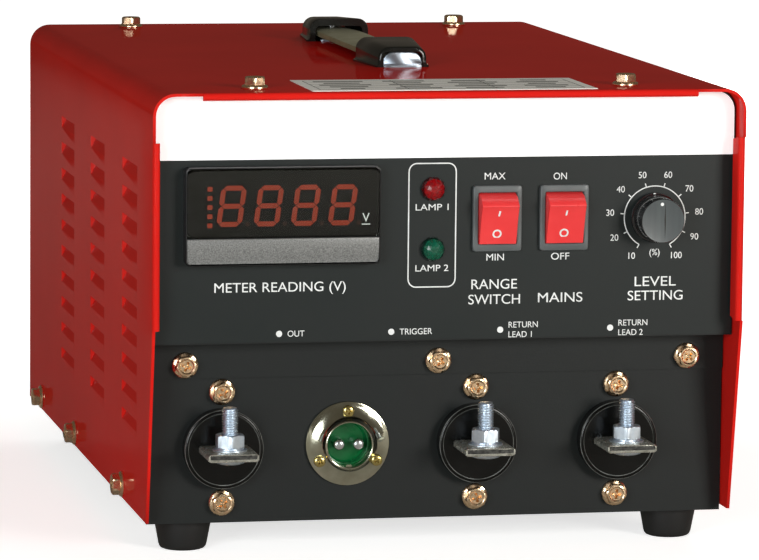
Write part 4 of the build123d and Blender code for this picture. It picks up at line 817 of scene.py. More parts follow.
def segment(bm, start, end, x, z):
    """One lit bar of a digit, pointed at both ends, leaning as the digit leans."""
    (u1, v1), (u2, v2) = start, end
    length = math.hypot(u2 - u1, v2 - v1)
    du, dv = (u2 - u1) / length, (v2 - v1) / length
    h = bar_stroke / 2
    near, far = h + bar_gap, length - h - bar_gap
    outline = []
    for along, across in ((bar_gap, 0), (near, -h), (far, -h), (length - bar_gap, 0), (far, h), (near, h)):
        u, v = u1 + du * along - dv * across, v1 + dv * along + du * across
        outline.append((u + digit_lean * v, v))
    lit(bm, outline, x, z)


digits = bmesh.new()
unlit = bmesh.new()
for k in range(4):
    x = digits_x + digit_pitch * (k - 1.5)
    w, h = digit_width / 2, digit_height / 2 - bar_stroke / 2
    for v in (-h, 0, h):
        segment(digits, (-w, v), (w, v), x, digit_level)
    for u in (-w, w):
        segment(digits, (u, -h), (u, 0), x, digit_level)
        segment(digits, (u, 0), (u, h), x, digit_level)
    lit(unlit, circle(point_radius, 16), x + point_right, digit_level - h)
for k in range(light_count):
    lit(digits, by_angle(2.5, 2.3, 0.2, 16), lights_x, lights_bottom + light_pitch * k)
piece("display_digits", digits, "case", [digit_glow])
piece("display_points", unlit, "case", [points_painted_glow])
unit = bmesh.new()
legend(unit, "V", unit_x, unit_level, unit_cap, face=digit_plane)
slab(unit, oblong(unit_cap, 0.5), unit_x, underline_level, digit_plane, digit_plane - ink_film)
piece("display_unit", unit, "case", [unit_ink_painted_glow], crease=40)

smoked = finish(
    "smoked_window", (0.50, 0.52, 0.50), (0.48, 0.50, 0.48), (0.01, 0.03), 400, 0.0,
    Transmission_Weight=1.0, IOR=1.37,
)
# The last two rings lie in the face, so that it shades flat
pane = [
    (0.2, overlay_face - 3.8), (0.2, meter_front + 0.5), (0.35, meter_front + 0.1), (0.8, meter_front),
    (1.2, meter_front),
]
window = bmesh.new()
skin(window, inset_rings(pane_width, pane_height, pane_corner, pane_z, pane))
piece("meter_pane", window, "case", [smoked], ["meter_window"])

trim_low, trim_high = corners("meter_trim")
trim_back, trim_front = trim_high.y, trim_low.y
metallic_film = finish(
    "metallic_film", (0.58, 0.585, 0.58), (0.40, 0.405, 0.405), (0.32, 0.44), 5000, 0.02,
    patch_scale=1600, Metallic=0.35,
)
# A strip with a sharp upper edge, rolling back towards its foot
strip_top, strip_foot = pane_low - 0.15, meter_low.z + lip + 0.1
strip = [
    (strip_top, trim_back),
    (strip_top, trim_front + 0.5),
    (strip_top - 0.3, trim_front + 0.05),
    (strip_top - 0.7, trim_front),
    (strip_top - 3.5, trim_front + 0.12),
    (strip_top - 6.5, trim_front + 0.45),
    (strip_top - 9.0, trim_front + 0.95),
    (strip_foot + 1.6, trim_front + 1.6),
    (strip_foot + 0.5, trim_front + 2.3),
    (strip_foot, trim_front + 3.2),
    (strip_foot, trim_back),
]
strip_ends = ((-1.0, 0.6), (-0.99, 0.15), (-0.975, 0.0), (0.975, 0.0), (0.99, 0.15), (1.0, 0.6))
rows = []
for across, tuck in strip_ends:
    rows.append([Vector((window_x + across * pane_width / 2, min(y + tuck, trim_back), z)) for z, y in strip])
trim = bmesh.new()
skin(trim, rows)
piece("meter_strip", trim, "case", [metallic_film], ["meter_trim"], crease=25)

# Pilot lamps: clear coloured lenses moulded with facets, one red and one green,
# snapped over their bodies in the panel. The outer facets are given a darker, opaque copy of the lens colour,
# painted shade for the dark ring round each lens.
facets = [(6.0, 0.0, 0.0), (6.0, 1.3, 0.0), (5.2, 2.9, 0.5), (3.6, 4.2, 0.0), (1.9, 4.9, 0.5)]
lens_sides, shaded_radius = 10, 5.2
for node, colour, patch, name in (
    ("red_lens", (0.66, 0.02, 0.06), (0.48, 0.01, 0.04), "red"),
    ("green_lens", (0.03, 0.40, 0.30), (0.02, 0.28, 0.20), "green"),
):
    x, _, z = middle(node)
    lens_back = corners(node)[1].y
    clear = finish(
        "clear_" + name, colour, patch, (0.2, 0.3), 900, 0.03,
        patch_scale=600, Transmission_Weight=0.3, IOR=1.49,
    )
    # Painted shade: a darker, opaque copy of the lens colour for the outer facets
    shaded_colour, shaded_patch = [0.45 * c for c in colour], [0.35 * c for c in patch]
    shaded_lens = finish("deep_" + name, shaded_colour, shaded_patch, (0.2, 0.3), 900, 0.03, patch_scale=600)
    lens = bmesh.new()
    rows = []
    for radius, out, shift in facets:
        row = []
        for k in range(lens_sides):
            angle = 2 * math.pi * (k + shift) / lens_sides
            point = (x + radius * math.cos(angle), lens_back - out, z + radius * math.sin(angle))
            row.append(lens.verts.new(point))
        rows.append((row, shift))
    for (near, near_shift), (far, far_shift) in zip(rows, rows[1:]):
        for k in range(lens_sides):
            following = (k + 1) % lens_sides
            if near_shift == far_shift:
                lens.faces.new((near[k], near[following], far[following], far[k]))
            elif far_shift > near_shift:
                lens.faces.new((near[k], near[following], far[k]))
                lens.faces.new((near[following], far[following], far[k]))
            else:
                lens.faces.new((near[k], near[following], far[following]))
                lens.faces.new((near[k], far[following], far[k]))
    lens.faces.new(rows[0][0][::-1])
    lens.faces.new(rows[-1][0])
    for face in lens.faces:
        centre = face.calc_center_median()
        face.material_index = int(math.hypot(centre.x - x, centre.z - z) > shaded_radius)
    piece(name + "_jewel", lens, "case", [clear, shaded_lens], [node], crease=5)

# Rocker switches: dark snap-in bezels, each with a red rocker marked with a bar and a ring.
# The rocker tips about a pin across the bezel.
rocker_red = finish(
    "rocker_red", (0.91, 0.25, 0.255), (0.88, 0.21, 0.22), (0.25, 0.35), 1200, 0.01, Coat_Weight=0.3
)
bezel_grey = finish("switch_bezel", (0.35, 0.37, 0.375), (0.31, 0.33, 0.335), (0.3, 0.4), 2200, 0.02)
switch_width, switch_height, switch_corner = 24.5, 32.5, 1.2
mouth_width, mouth_height, mouth_corner, mouth_back = 19.3, 25.5, 0.5, 12.0
half_width, half_height, face_out, back_out = 9.4, 12.4, 8.35, 3.0
# The rocker's side view as heights and depths, and its width as shares with the ends drawn in
rocker_profile = [
    (-half_height * 0.985, back_out), (-half_height, -back_out), (-11.0, -face_out + 1.2),
    (-10.4, -face_out + 0.35), (-6.0, -face_out + 0.55), (0.0, -face_out + 0.7), (5.2, -face_out + 0.55),
    (9.0, -face_out + 0.2), (9.6, -face_out), (10.1, -face_out + 0.2), (10.6, -face_out + 1.0),
    (half_height, -back_out), (half_height * 0.985, back_out),
]
rocker_ends = ((-1.0, 0.94), (-0.97, 1.0), (0.97, 1.0), (1.0, 0.94))
lean = Matrix.Rotation(math.radians(18.0), 3, "X")
sunk, proud = -0.3, 0.1
bar_sign = [(u + 0.14 * v - 0.3, v + 6.3) for u, v in by_angle(0.9, 3.9, 0.2, 32)]
ring_x, ring_z, ring_outer, ring_inner = 0.8, 5.1, circle(2.3, 32), circle(1.45, 32)
bar_dip, ring_dip = 0.48, 0.6
for node in ("high_low", "power"):
    low, high = corners(node + "_switch")
    x, _, z = middle(node + "_switch")
    bezel = bmesh.new()
    rings = []
    for inset, y in ((0.0, overlay_face), (0.0, low.y + 0.6), (0.2, low.y + 0.2), (0.6, low.y)):
        width, height = switch_width - 2 * inset, switch_height - 2 * inset
        rings.append(facing(by_angle(width, height, switch_corner - inset / 2, 96), x, y, z))
    for inset, y in ((-0.3, low.y), (0.0, low.y + 0.4), (0.0, high.y - mouth_back)):
        width, height = mouth_width - 2 * inset, mouth_height - 2 * inset
        rings.append(facing(by_angle(width, height, mouth_corner, 96), x, y, z))
    skin(bezel, rings)
    piece(node + "_bezel", bezel, "case", [bezel_grey], [node + "_switch"])
    pivot = next(Vector(j["pos_m"]) / MM for j in frame["joints"] if j["child"] == node + "_rocker")
    rocker = bmesh.new()
    rows = []
    for across, shrink in rocker_ends:
        row = []
        for up, out in rocker_profile:
            depth = out * (shrink if out < 0 else 1)
            row.append(pivot + lean @ Vector((across * half_width, depth, up * (shrink + 1) / 2)))
        rows.append(row)
    skin(rocker, rows)
    piece(node + "_key", rocker, node + "_rocker", [rocker_red], [node + "_rocker"], crease=38)
    signs = bmesh.new()
    rings = []
    for out in (sunk, proud):
        rings.append([pivot + lean @ Vector((u, -face_out + bar_dip - out, v)) for u, v in bar_sign])
    skin(signs, rings)
    rings = []
    for ring, out in (
        (ring_outer, sunk), (ring_outer, proud), (ring_inner, proud), (ring_inner, sunk), (ring_outer, sunk),
    ):
        y = -face_out + ring_dip - out
        rings.append([pivot + lean @ Vector((u - ring_x, y, v - ring_z)) for u, v in ring])
    skin(signs, rings, False, False)
    piece(node + "_signs", signs, node + "_rocker", [ink])

# Charge knob: a turned-looking moulding with a glossy skirt and a grey face, pressed on the shaft
# of the potentiometer. A groove and white dots show where it points.
knob_gloss = finish(
    "knob_gloss", (0.10, 0.10, 0.105), (0.085, 0.085, 0.09), (0.1, 0.2), 800, 0.01, Coat_Weight=0.5
)
knob_grey = finish(
    "knob_face", (0.30, 0.325, 0.33), (0.25, 0.27, 0.28), (0.3, 0.4), 2600, 0.02, run=(4, 4, 0.2)
)
knob_back, knob_front = knob_high.y, knob_low.y
knob_side = [
    (8.4, knob_back), (12.2, knob_back), (12.4, knob_back - 0.3), (12.4, knob_back - 1.7),
    (12.1, knob_back - 2.3), (11.7, knob_back - 2.6), (11.35, knob_back - 2.9), (11.25, knob_back - 4.0),
    (10.95, knob_front + 0.7), (10.85, knob_front + 0.25), (10.6, knob_front),
]
knob_face = [(10.6, knob_front), (10.1, knob_front + 0.1)]
knob = bmesh.new()
skin(knob, [facing(circle(r), knob_x, y, knob_z) for r, y in knob_side], last_cap=False)
skin(knob, [facing(circle(r), knob_x, y, knob_z) for r, y in knob_face], first_cap=False, tag=1)
piece("charge_dial", knob, "charge_knob", [knob_gloss, knob_grey], ["charge_knob"])
groove = bmesh.new()
slab(groove, by_angle(0.6, 18.6, 0.2, 16), knob_x + 1.0, knob_z, knob_front + 0.12, knob_front + 0.02)
piece("dial_groove", groove, "charge_knob", [knob_gloss])
dots = bmesh.new()
slab(dots, circle(0.85, 24), knob_x - 0.6, knob_z + 8.2, knob_front + 0.12, knob_front)
slab(dots, circle(0.7, 24), knob_x - 1.0, knob_z + 11.6, knob_back - 1.5, knob_back - 2.5)
piece("dial_dots", dots, "charge_knob", [ink])

# Cover: one sheet bent to an upside-down U and powder coated gloss red, hemmed inwards along its front edge.
# Its sides have three columns of louvres pressed inwards, open along the top.
cover_low, cover_high = corners("cover")
half, top, foot, rim, rear = cover_high.x, cover_high.z, cover_low.z, cover_low.y, cover_high.y
sheet, inner_gap, bend, bend_steps = 1.5, 0.05, 11.0, 8
fold, fold_steps, hem_slant = 1.9, 8, 1.5
knee, slant, hem_depth, hem_top, hem_half = foot + 97.0, 18.0, 10.0, top - 24.0, 123.0
columns, row_count, column_pitch, row_pitch = 3, 10, 108.0, 14.0
cell_length, cell_margin, slit_drop, slit_gap = 54.0, 3.0, 2.0, 0.25
louvre_rise, louvre_depth, louvre_taper, louvre_steps = 6.6, 3.5, 0.8, 8
first_y, first_z = rim + 45.0, top - 37.5
red_paint = finish(
    "red_paint", (0.83, 0.13, 0.105), (0.79, 0.115, 0.09), (0.28, 0.36), 500, 0.008,
    patch_scale=9, Coat_Weight=0.25, Coat_Roughness=0.05, Specular_IOR_Level=0.0,
)


def louvre_cell():
    """One louvre in its rectangle of sheet, on the left side: along +Y, down -Z, pressed towards +X."""
    bm = bmesh.new()
    length = cell_length - 2 * cell_margin
    grid = []
    for k in range(louvre_steps + 1):
        share = 1 - k / louvre_steps
        taper = louvre_taper * max(share, 0.02)
        down = louvre_rise * k / louvre_steps + (slit_gap if k == 0 else 0.0)
        depth = louvre_depth * share
        places = [(0.0, 0.0), (taper, depth), (length / 2, depth), (length - taper, depth), (length, 0.0)]
        grid.append([bm.verts.new((x, cell_margin + along, -slit_drop - down)) for along, x in places])
    for near, far in zip(grid, grid[1:]):
        for k in range(len(near) - 1):
            bm.faces.new((near[k], near[k + 1], far[k + 1], far[k]))
    edges = ((0, 0), (cell_length, 0), (cell_length, -row_pitch), (0, -row_pitch))
    outer = [bm.verts.new((0, y, z)) for y, z in edges]
    bm.faces.new((outer[0], outer[1], grid[0][-1], grid[0][0]))
    bm.faces.new([outer[1], outer[2]] + [row[-1] for row in grid[::-1]])
    bm.faces.new([outer[2], outer[3]] + grid[-1])
    bm.faces.new([outer[3], outer[0]] + [row[0] for row in grid])
    return bm


# Louvre bank: rows of cells down from each point of a line of columns
louvre_bank, taken, given = node_tree(
    "louvre_bank",
    "GeometryNodeTree",
    [
        ("Start", "Geometry"), ("Louvre", "Object"), ("Columns", "Int"), ("Rows", "Int"),
        ("Column Pitch", "Float"), ("Row Pitch", "Float"), ("Finish", "Material"),
    ],
    [("Bank", "Geometry")],
)
across = add_node(louvre_bank, "GeometryNodeMeshLine")
across_step = add_node(louvre_bank, "ShaderNodeCombineXYZ")
down = add_node(louvre_bank, "GeometryNodeMeshLine")
down_step = add_node(louvre_bank, "ShaderNodeCombineXYZ")
downward = add_node(louvre_bank, "ShaderNodeMath", "MULTIPLY")
downward.inputs[1].default_value = -1.0
lines = add_node(louvre_bank, "GeometryNodeInstanceOnPoints")
starts = add_node(louvre_bank, "GeometryNodeRealizeInstances")
cell_mesh = add_node(louvre_bank, "GeometryNodeObjectInfo")
cells = add_node(louvre_bank, "GeometryNodeInstanceOnPoints")
realize = add_node(louvre_bank, "GeometryNodeRealizeInstances")
coat = add_node(louvre_bank, "GeometryNodeSetMaterial")
wire(
    louvre_bank,
    (taken.outputs["Columns"], across.inputs["Count"]),
    (taken.outputs["Column Pitch"], across_step.inputs["Y"]),
    (across_step.outputs["Vector"], across.inputs["Offset"]),
    (taken.outputs["Rows"], down.inputs["Count"]),
    (taken.outputs["Row Pitch"], downward.inputs[0]),
    (downward.outputs["Value"], down_step.inputs["Z"]),
    (down_step.outputs["Vector"], down.inputs["Offset"]),
    (across.outputs["Mesh"], lines.inputs["Points"]),
    (down.outputs["Mesh"], lines.inputs["Instance"]),
    (lines.outputs["Instances"], starts.inputs["Geometry"]),
    (starts.outputs["Geometry"], cells.inputs["Points"]),
    (taken.outputs["Louvre"], cell_mesh.inputs["Object"]),
    (cell_mesh.outputs["Geometry"], cells.inputs["Instance"]),
    (cells.outputs["Instances"], realize.inputs["Geometry"]),
    (realize.outputs["Geometry"], coat.inputs["Geometry"]),
    (taken.outputs["Finish"], coat.inputs["Material"]),
    (coat.outputs["Geometry"], given.inputs["Bank"]),
)
cell = put_in_scene("louvre_cell", drawn("louvre_cell", louvre_cell()))
bank_values = {
    "Louvre": cell,
    "Columns": columns,
    "Rows": row_count,
    "Column Pitch": column_pitch,
    "Row Pitch": row_pitch,
    "Finish": red_paint,
}
bank_mesh = run_tree(louvre_bank, bpy.data.meshes.new("bank_start"), bank_values)
bpy.data.objects.remove(cell)

cover = bmesh.new()
for side in (-1, 1):
    first = len(cover.verts)
    cover.from_mesh(bank_mesh)
    cover.verts.ensure_lookup_table()
    for vert in cover.verts[first:]:
        vert.co = (side * (half - vert.co.x), vert.co.y + first_y, vert.co.z + first_z)

# The bent section as stations from the left foot over the top to the right foot,
# each with its inward direction
bank_bottom = first_z - row_pitch * row_count
left_wall = [foot] + [first_z - row_pitch * k for k in range(row_count, -1, -1)] + [hem_top, top - bend]
stations = [(-half, z, 1.0, 0.0) for z in left_wall]
for k in range(1, bend_steps + 1):
    angle = math.pi - math.pi / 2 * k / bend_steps
    along, up = math.cos(angle), math.sin(angle)
    stations.append((-half + bend + bend * along, top - bend + bend * up, -along, -up))
stations.append((-hem_half, top, 0.0, -1.0))
stations += [(-x, z, -nx, nz) for x, z, nx, nz in stations[::-1]]
depths = [first_y + column_pitch * k + edge for k in range(columns) for edge in (0.0, cell_length)] + [rear]


def front_edge(z):
    return rim + slant * max(0.0, knee - z) / (knee - foot)


def is_bank(a, b, interval):
    """Whether the sheet between two stations, in an interval of depth, is filled by louvres."""
    low_z, high_z = sorted((a[1], b[1]))
    inside = low_z >= bank_bottom - 0.1 and high_z <= first_z + 0.1
    return inside and interval % 2 == 0 and a[0] == b[0]


def add_face(points):
    cover.faces.new([cover.verts.new(point) for point in points])


def hem_row(station, neighbour, at_end):
    """Points round the hem's fold at a station, drawn towards the neighbour where the hem ends."""
    x, z, nx, nz = station
    row = []
    for k in range(fold_steps + 1):
        angle = math.pi * k / fold_steps
        inset = fold - fold * math.cos(angle)
        row.append((x + nx * inset, rim + fold - fold * math.sin(angle), z + nz * inset))
    step = Vector((neighbour[0] - x, 0, neighbour[1] - z)).normalized() * (hem_slant if at_end else 0.0)
    row.append((x + nx * 2 * fold + step.x, rim + hem_depth, z + nz * 2 * fold + step.z))
    return [cover.verts.new(point) for point in row]


for a, b in zip(stations, stations[1:]):
    for k, (near, far) in enumerate(zip(depths, depths[1:])):
        if not is_bank(a, b, k):
            add_face([(a[0], near, a[1]), (a[0], far, a[1]), (b[0], far, b[1]), (b[0], near, b[1])])
    path = [a, b]
    if min(a[1], b[1]) < knee < max(a[1], b[1]):
        path = [a, (a[0], knee, a[2], a[3]), b]
    ring = [(b[0], depths[0], b[1]), (a[0], depths[0], a[1])]
    add_face(ring + [(x, front_edge(z) + fold, z) for x, z, _, _ in path])
    for start, end in zip(path, path[1:]):
        on_side = start[0] == end[0] and min(start[1], end[1]) >= knee and max(start[1], end[1]) <= hem_top
        on_top = abs(start[0]) <= hem_half and abs(end[0]) <= hem_half and start[1] == end[1]
        if on_side or on_top:
            rows = []
            for station, neighbour in ((start, end), (end, start)):
                x, z = station[:2]
                at_end = z in (knee, hem_top) and on_side or abs(x) == hem_half and on_top
                rows.append(hem_row(station, neighbour, at_end))
            for k in range(fold_steps + 1):
                cover.faces.new((rows[0][k], rows[0][k + 1], rows[1][k + 1], rows[1][k]))
        else:
            edges = ((start, fold), (start, 0), (end, 0), (end, fold))
            add_face([(x, front_edge(z) + d, z) for (x, z, _, _), d in edges])
bmesh.ops.remove_doubles(cover, verts=cover.verts, dist=0.01)
bmesh.ops.recalc_face_normals(cover, faces=cover.faces)
highest = max(cover.faces, key=lambda face: face.calc_center_median().z)
if highest.normal.z < 0:
    bmesh.ops.reverse_faces(cover, faces=cover.faces)
shell = piece("bent_cover", cover, "case", [red_paint], ["cover"], crease=28, tidy=False)
free_edges = opened(shell.data)
for edge in free_edges.edges:
    if edge.is_boundary:
        edge.smooth = False
free_edges.to_mesh(shell.data)
free_edges.free()
wall = shell.modifiers.new("sheet", "SOLIDIFY")
wall.thickness = (sheet - inner_gap) * MM
wall.offset = -1.0

# Flange screws: hexagon heads on a pressed flange with a cross recess, yellow zinc plated.
# Four hold the cover's top, three each side its foot, and nine the two front panels and the bushings.
yellow_zinc = finish(
    "yellow_zinc", (0.97, 0.87, 0.73), (0.93, 0.79, 0.64), (0.2, 0.32), 1100, 0.02,
    patch_scale=420, Metallic=1.0,
)
flange = [(6.3, 0.0), (6.5, 0.25), (6.45, 0.8), (6.0, 1.35)]
head_across, head_levels = 9.5, [(5.5, 1.75), (5.5, 4.7), (5.1, 5.2), (4.55, 5.55)]
head_dip = [(3.9, 5.6), (3.4, 5.3), (3.1, 5.0)]
rings = [upright(circle(r), 0, 0, h) for r, h in flange]
rings += [upright(hexagon(head_across, limit), 0, 0, h) for limit, h in head_levels]
rings += [upright(circle(r), 0, 0, h) for r, h in head_dip]
flange_screw = bmesh.new()
skin(flange_screw, rings)
flange_screw = cross_recessed(flange_screw, level=5.0, width=0.75, reach=2.6, depth=2.0)
top_screw_x, top_screw_y = 93.0, (rim + 28.0, rear - 20.0)
side_screw_rise, side_screw_y = 7.0, (rim + 94.0, rim + 260.0, rear - 50.0)
seam_x, seam_z, bushing_screw_rise = (-126.7, 0.0, 126.7), overlay_low.z - 13.0, 27.5
screws = []
for side in (-1, 1):
    for y in top_screw_y:
        screws.append(((side * top_screw_x, y, top), (0, 0, 20 + 13 * len(screws))))
    for y in side_screw_y:
        screws.append(((side * half, y, foot + side_screw_rise), (90, 13 * len(screws), side * 90)))
for x in seam_x:
    screws.append(((x, panel_face - sheet, seam_z), (90, 11 * len(screws), 0)))
for x in terminal_x.values():
    for z in (bar_z - bushing_screw_rise, bar_z + bushing_screw_rise):
        screws.append(((x, panel_face, z), (90, 11 * len(screws), 0)))
heads = repeat(flange_screw, screws, yellow_zinc)
piece("case_screws", heads, "case", [yellow_zinc], ["flange_screws"], crease=30)

# Data plate: a thin satin aluminium label on the cover's top, ruled as a table with plain blocks
# in place of print.
plate_low, plate_high = corners("data_plate")
plate_x, plate_y, _ = middle("data_plate")
# The satin plate glows faintly white, painted light that makes it read whiter
plate_satin_and_glow = finish(
    "satin_plate_painted_glow", (0.98, 0.98, 0.96), (0.93, 0.93, 0.90), (0.4, 0.5), 2500, 0.01,
    run=(0.2, 4, 1), Emission_Color=(1.0, 1.0, 0.97, 1.0), Emission_Strength=0.06,
)
ruled_ink = finish("grey_ink", (0.17, 0.17, 0.17), (0.13, 0.13, 0.13), (0.5, 0.6), 2500, 0.01)
dress(plate_satin_and_glow, "data_plate")
table_width, table_height, line_width, ruled_film = 132.0, 48.0, 0.35, 0.04
table_margin, table_pitch, block_height, block_pitch = 6.0, 9.6, 3.0, 33.0
ruling = bmesh.new()


def ruled(outline, x, y):
    tile(ruling, outline, x, y, plate_high.z, plate_high.z + ruled_film)


for k in range(6):
    ruled(oblong(table_width, line_width), plate_x, plate_low.y + table_margin + k * table_pitch)
for x in (-66.0, -22.0, 22.0, 66.0):
    ruled(oblong(line_width, table_height), plate_x + x, plate_y)
for k in range(5):
    for j in range(4):
        block = oblong(12.0 + (7 * k + 11 * j) % 15, block_height)
        ruled(block, plate_x - 49.0 + block_pitch * j, plate_low.y + 10.8 + k * table_pitch)
piece("plate_ruling", ruling, "case", [ruled_ink])

# Carrying handle: two moulded end caps screwed to the cover over bright brackets,
# with a rubber strap between them that has a little room to rise in the caps.
caps_low, caps_high = corners("handle_caps")
handle_x, cap_length = middle("handle_caps")[0], 42.0
cap_ends = ((-1, caps_low.y), (1, caps_high.y))
cap_black = finish("cap_moulding", (0.085, 0.09, 0.082), (0.065, 0.07, 0.062), (0.13, 0.22), 1500, 0.04)


def arch(width, height, lip, corner=6.0):
    """An arch standing on the cover with a small flared lip at its foot, as points from right to left."""
    points = [(width / 2 + lip, 0.0), (width / 2 + lip, 0.9), (width / 2 + 0.35, 1.35), (width / 2, 2.2)]
    for k in range(7):
        u, v = math.cos(math.pi / 2 * k / 6), math.sin(math.pi / 2 * k / 6)
        points.append((width / 2 - corner + corner * u, height - corner + corner * v))
    return points + [(-u, v) for u, v in points[::-1]]


caps = bmesh.new()
for side, end_y in cap_ends:
    mouth_y = end_y - side * cap_length
    rings = []
    for share, shrink in ((0.0, 0.7), (0.012, 0.2), (0.04, 0.0), (0.5, 0.0), (0.97, 0.0), (1.0, 0.4)):
        outline = arch(25.0 + 8.0 * share - 2 * shrink, 10.5 + 2.0 * share - shrink, 1.4)
        rings.append(facing(outline, handle_x, end_y + (mouth_y - end_y) * share, top))
    for share in (1.0, 0.5, 0.03, 0.0):
        outline = arch(20.4 + 5.6 * share, 8.0 + 0.4 * share, 0.0, 2.4)
        rings.append(facing(outline, handle_x, end_y + (mouth_y - end_y) * share, top))
    skin(caps, rings + rings[:1], False, False)
piece("grip_caps", caps, "case", [cap_black], ["handle_caps"], crease=40)

bright = finish(
    "bright_bracket", (0.62, 0.66, 0.70), (0.54, 0.58, 0.62), (0.28, 0.38), 900, 0.02, Metallic=1.0
)
bracket_floor = 0.9
brackets = bmesh.new()
for side, end_y in cap_ends:
    mouth_y = end_y - side * cap_length
    rings = []
    for inset, back in ((0.6, 0.6), (0.0, 0.95), (0.0, 1.8)):
        across, up = 1 - inset / 10, 1 - inset / 8
        outline = [(u * across, bracket_floor + v * up) for u, v in arch(20.4, 7.0, 0.0)]
        rings.append(facing(outline, handle_x, end_y - side * back, top))
    skin(brackets, rings)
    base = by_angle(19.6, cap_length + 1.2, 0.6)
    base_y = (end_y + side * 1.2 + mouth_y) / 2
    skin(brackets, [upright(base, handle_x, base_y, top + h) for h in (0.0, 0.8, 1.0)])
piece("handle_plates", brackets, "case", [bright], ["handle_brackets"])

rubber = finish(
    "strap_rubber", (0.49, 0.48, 0.35), (0.43, 0.42, 0.30), (0.45, 0.58), 1300, 0.06,
    Sheen_Weight=0.06, Sheen_Tint=(0.95, 0.93, 0.75, 1.0),
)
strap_low, strap_high = corners("handle_strap")
strap_width, strap_thick = strap_high.x - strap_low.x, strap_high.z - strap_low.z
strap_z = middle("handle_strap")[2]
strap_steps, strap_half, free_half, narrowing, crowning = 24, 100.0, 63.0, 7.4, 0.12
strap = bmesh.new()
rings = []
for k in range(strap_steps + 1):
    share = k / strap_steps
    y = strap_low.y + (strap_high.y - strap_low.y) * share
    into_cap = max(0.0, abs(share - 0.5) * 2 * strap_half - free_half) / (strap_half - free_half)
    width = strap_width - narrowing * into_cap
    outline = by_angle(width, strap_thick, 1.4, 48)
    crown = [(u, v * (1.0 if v < 0 else 1 - crowning * (2 * u / width) ** 2)) for u, v in outline]
    rings.append(facing(crown, handle_x, y, strap_z))
skin(strap, rings)
piece("grip_strap", strap, "handle_strap", [rubber], ["handle_strap"], crease=40)

# Feet: four tapered rubber feet under the corners of the pan, each moulded with a hollow.
# A screw up through the hollow holds each one.
foot_rubber = finish("foot_rubber", (0.09, 0.09, 0.09), (0.07, 0.07, 0.07), (0.5, 0.62), 1200, 0.08)
feet_low, feet_high = corners("feet")
foot_radius = 14.75
foot_profile = [
    (foot_radius, feet_high.z), (foot_radius, feet_high.z - 0.6), (13.2, 9.0), (12.0, 2.6), (11.6, 1.4),
    (10.9, 0.5), (9.8, 0.05), (9.2, 0.0), (6.4, 0.0), (6.0, 0.5), (6.0, 12.0),
]
feet = bmesh.new()
for x in (feet_low.x + foot_radius, feet_high.x - foot_radius):
    for y in (feet_low.y + foot_radius, feet_high.y - foot_radius):
        skin(feet, [upright(circle(r, 48), x, y, h) for r, h in foot_profile])
piece("rubber_feet", feet, "case", [foot_rubber], ["feet"])

# Stage: a plain pale floor under soft studio light and a plain surround. The camera sees the floor lifted
# to white away from the case, and everything else sees it as the lights leave it.
floor_mesh = bmesh.new()
bmesh.ops.create_grid(floor_mesh, x_segments=1, y_segments=1, size=30.0)
floor = put_in_scene("floor", drawn("floor", floor_mesh))
pale = finish(
    "pale_floor", (0.84, 0.825, 0.79), (0.83, 0.815, 0.78), (0.6, 0.7), 200, 0.01,
    patch_scale=1, Specular_IOR_Level=0.0,
)
tree = pale.node_tree
place = add_node(tree, "ShaderNodeTexCoord")
away = add_node(tree, "ShaderNodeVectorMath", "LENGTH")
brighter = add_node(tree, "ShaderNodeMapRange", From_Min=0.25, From_Max=0.55, To_Min=0.66, To_Max=1.0)
bright_floor = add_node(tree, "ShaderNodeBsdfDiffuse", Color=WHITE)
lift = add_node(tree, "ShaderNodeEmission")
lit_floor = add_node(tree, "ShaderNodeAddShader")
ray = add_node(tree, "ShaderNodeLightPath")
either = add_node(tree, "ShaderNodeMixShader")
wire(
    tree,
    (place.outputs["Object"], away.inputs[0]),
    (away.outputs["Value"], brighter.inputs["Value"]),
    (brighter.outputs["Result"], lift.inputs["Strength"]),
    (bright_floor.outputs["BSDF"], lit_floor.inputs[0]),
    (lift.outputs["Emission"], lit_floor.inputs[1]),
    (ray.outputs["Is Camera Ray"], either.inputs["Fac"]),
    (tree.nodes["Principled BSDF"].outputs["BSDF"], either.inputs[1]),
    (lit_floor.outputs["Shader"], either.inputs[2]),
    (either.outputs["Shader"], tree.nodes["Material Output"].inputs["Surface"]),
)
floor.data.materials.append(pale)

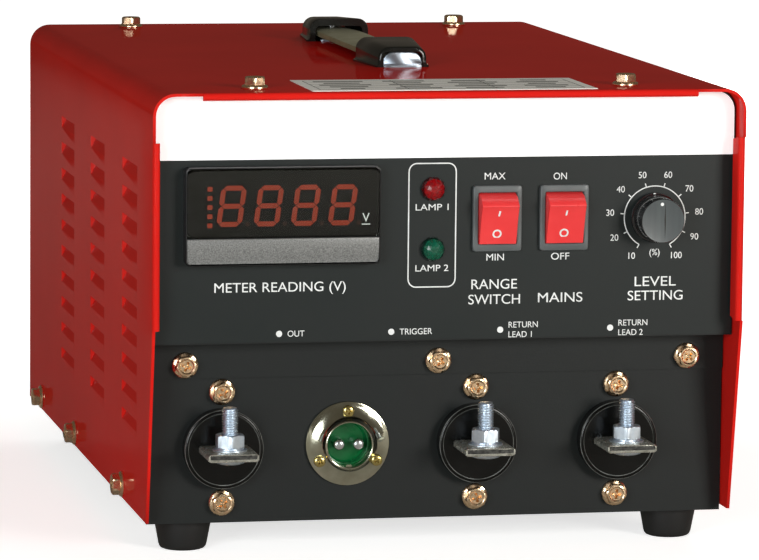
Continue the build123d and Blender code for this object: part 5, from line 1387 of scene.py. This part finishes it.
world = bpy.data.worlds.new("studio")
bpy.context.scene.world = world
world.use_nodes = True
tree = world.node_tree
surround = tree.nodes["Background"]
surround.inputs["Color"].default_value = (0.1, 0.087, 0.068, 1.0)
backdrop = add_node(tree, "ShaderNodeBackground", Color=WHITE)
ray = add_node(tree, "ShaderNodeLightPath")
either = add_node(tree, "ShaderNodeMixShader")
wire(
    tree,
    (ray.outputs["Is Camera Ray"], either.inputs["Fac"]),
    (surround.outputs["Background"], either.inputs[1]),
    (backdrop.outputs["Background"], either.inputs[2]),
    (either.outputs["Shader"], tree.nodes["World Output"].inputs["Surface"]),
)


def direction(bearing, height):
    """The way out to a bearing, from the front towards the right, and a height, both in radians."""
    level = math.cos(height)
    return Vector((math.sin(bearing) * level, -math.cos(bearing) * level, math.sin(height)))


def softbox(name, bearing, height, distance, size, power, colour=(1, 1, 1)):
    """A square soft light aimed at the front of the case from a bearing and a height in degrees."""
    light = bpy.data.lights.new(name, "AREA")
    light.shape = "RECTANGLE"
    light.size, light.size_y = size, size
    light.energy = power
    light.color = colour
    lamp = put_in_scene(name, light)
    outward = direction(math.radians(bearing), math.radians(height))
    lamp.location = Vector((0.0, rim * MM, 0.5 * top * MM)) + outward * distance
    lamp.rotation_euler = (-outward).to_track_quat("-Z", "Y").to_euler()
    return lamp


softbox("key_light", 32, 12, 2.8, 0.9, 43, (1.0, 0.97, 0.92))
softbox("left_light", -38, 9, 2.1, 0.8, 23, (0.94, 0.98, 1.0))
softbox("camera_light", -10, 8, 2.8, 0.5, 17).visible_glossy = False
softbox("rear_light", 160, 14, 2.8, 0.8, 26).visible_glossy = False
bpy.context.scene.view_settings.view_transform = "Standard"

# Camera: a long lens at the photograph's viewing angle, fitted to the case's edges.
# It is rolled by about half a degree and has no shift.
azimuth, elevation, roll = (math.radians(a) for a in (-11.729, 7.253, 0.545))
camera_distance = 2.62276
aim = Vector((0.005598, -0.0175, 0.112376))
back = direction(azimuth, elevation)
right = Vector((math.cos(azimuth), math.sin(azimuth), 0.0))
up = back.cross(right)
tilted_right = right * math.cos(roll) + up * math.sin(roll)
tilted_up = up * math.cos(roll) - right * math.sin(roll)
camera_data = bpy.data.cameras.new("camera")
camera_data.lens = 235.98
camera_data.sensor_width = 36.0
camera_data.clip_end = 200.0
camera = put_in_scene("camera", camera_data)
axes = Matrix((tilted_right, tilted_up, back)).transposed()
camera.matrix_world = Matrix.Translation(aim + back * camera_distance) @ axes.to_4x4()
bpy.context.scene.camera = camera

bpy.context.view_layer.update()
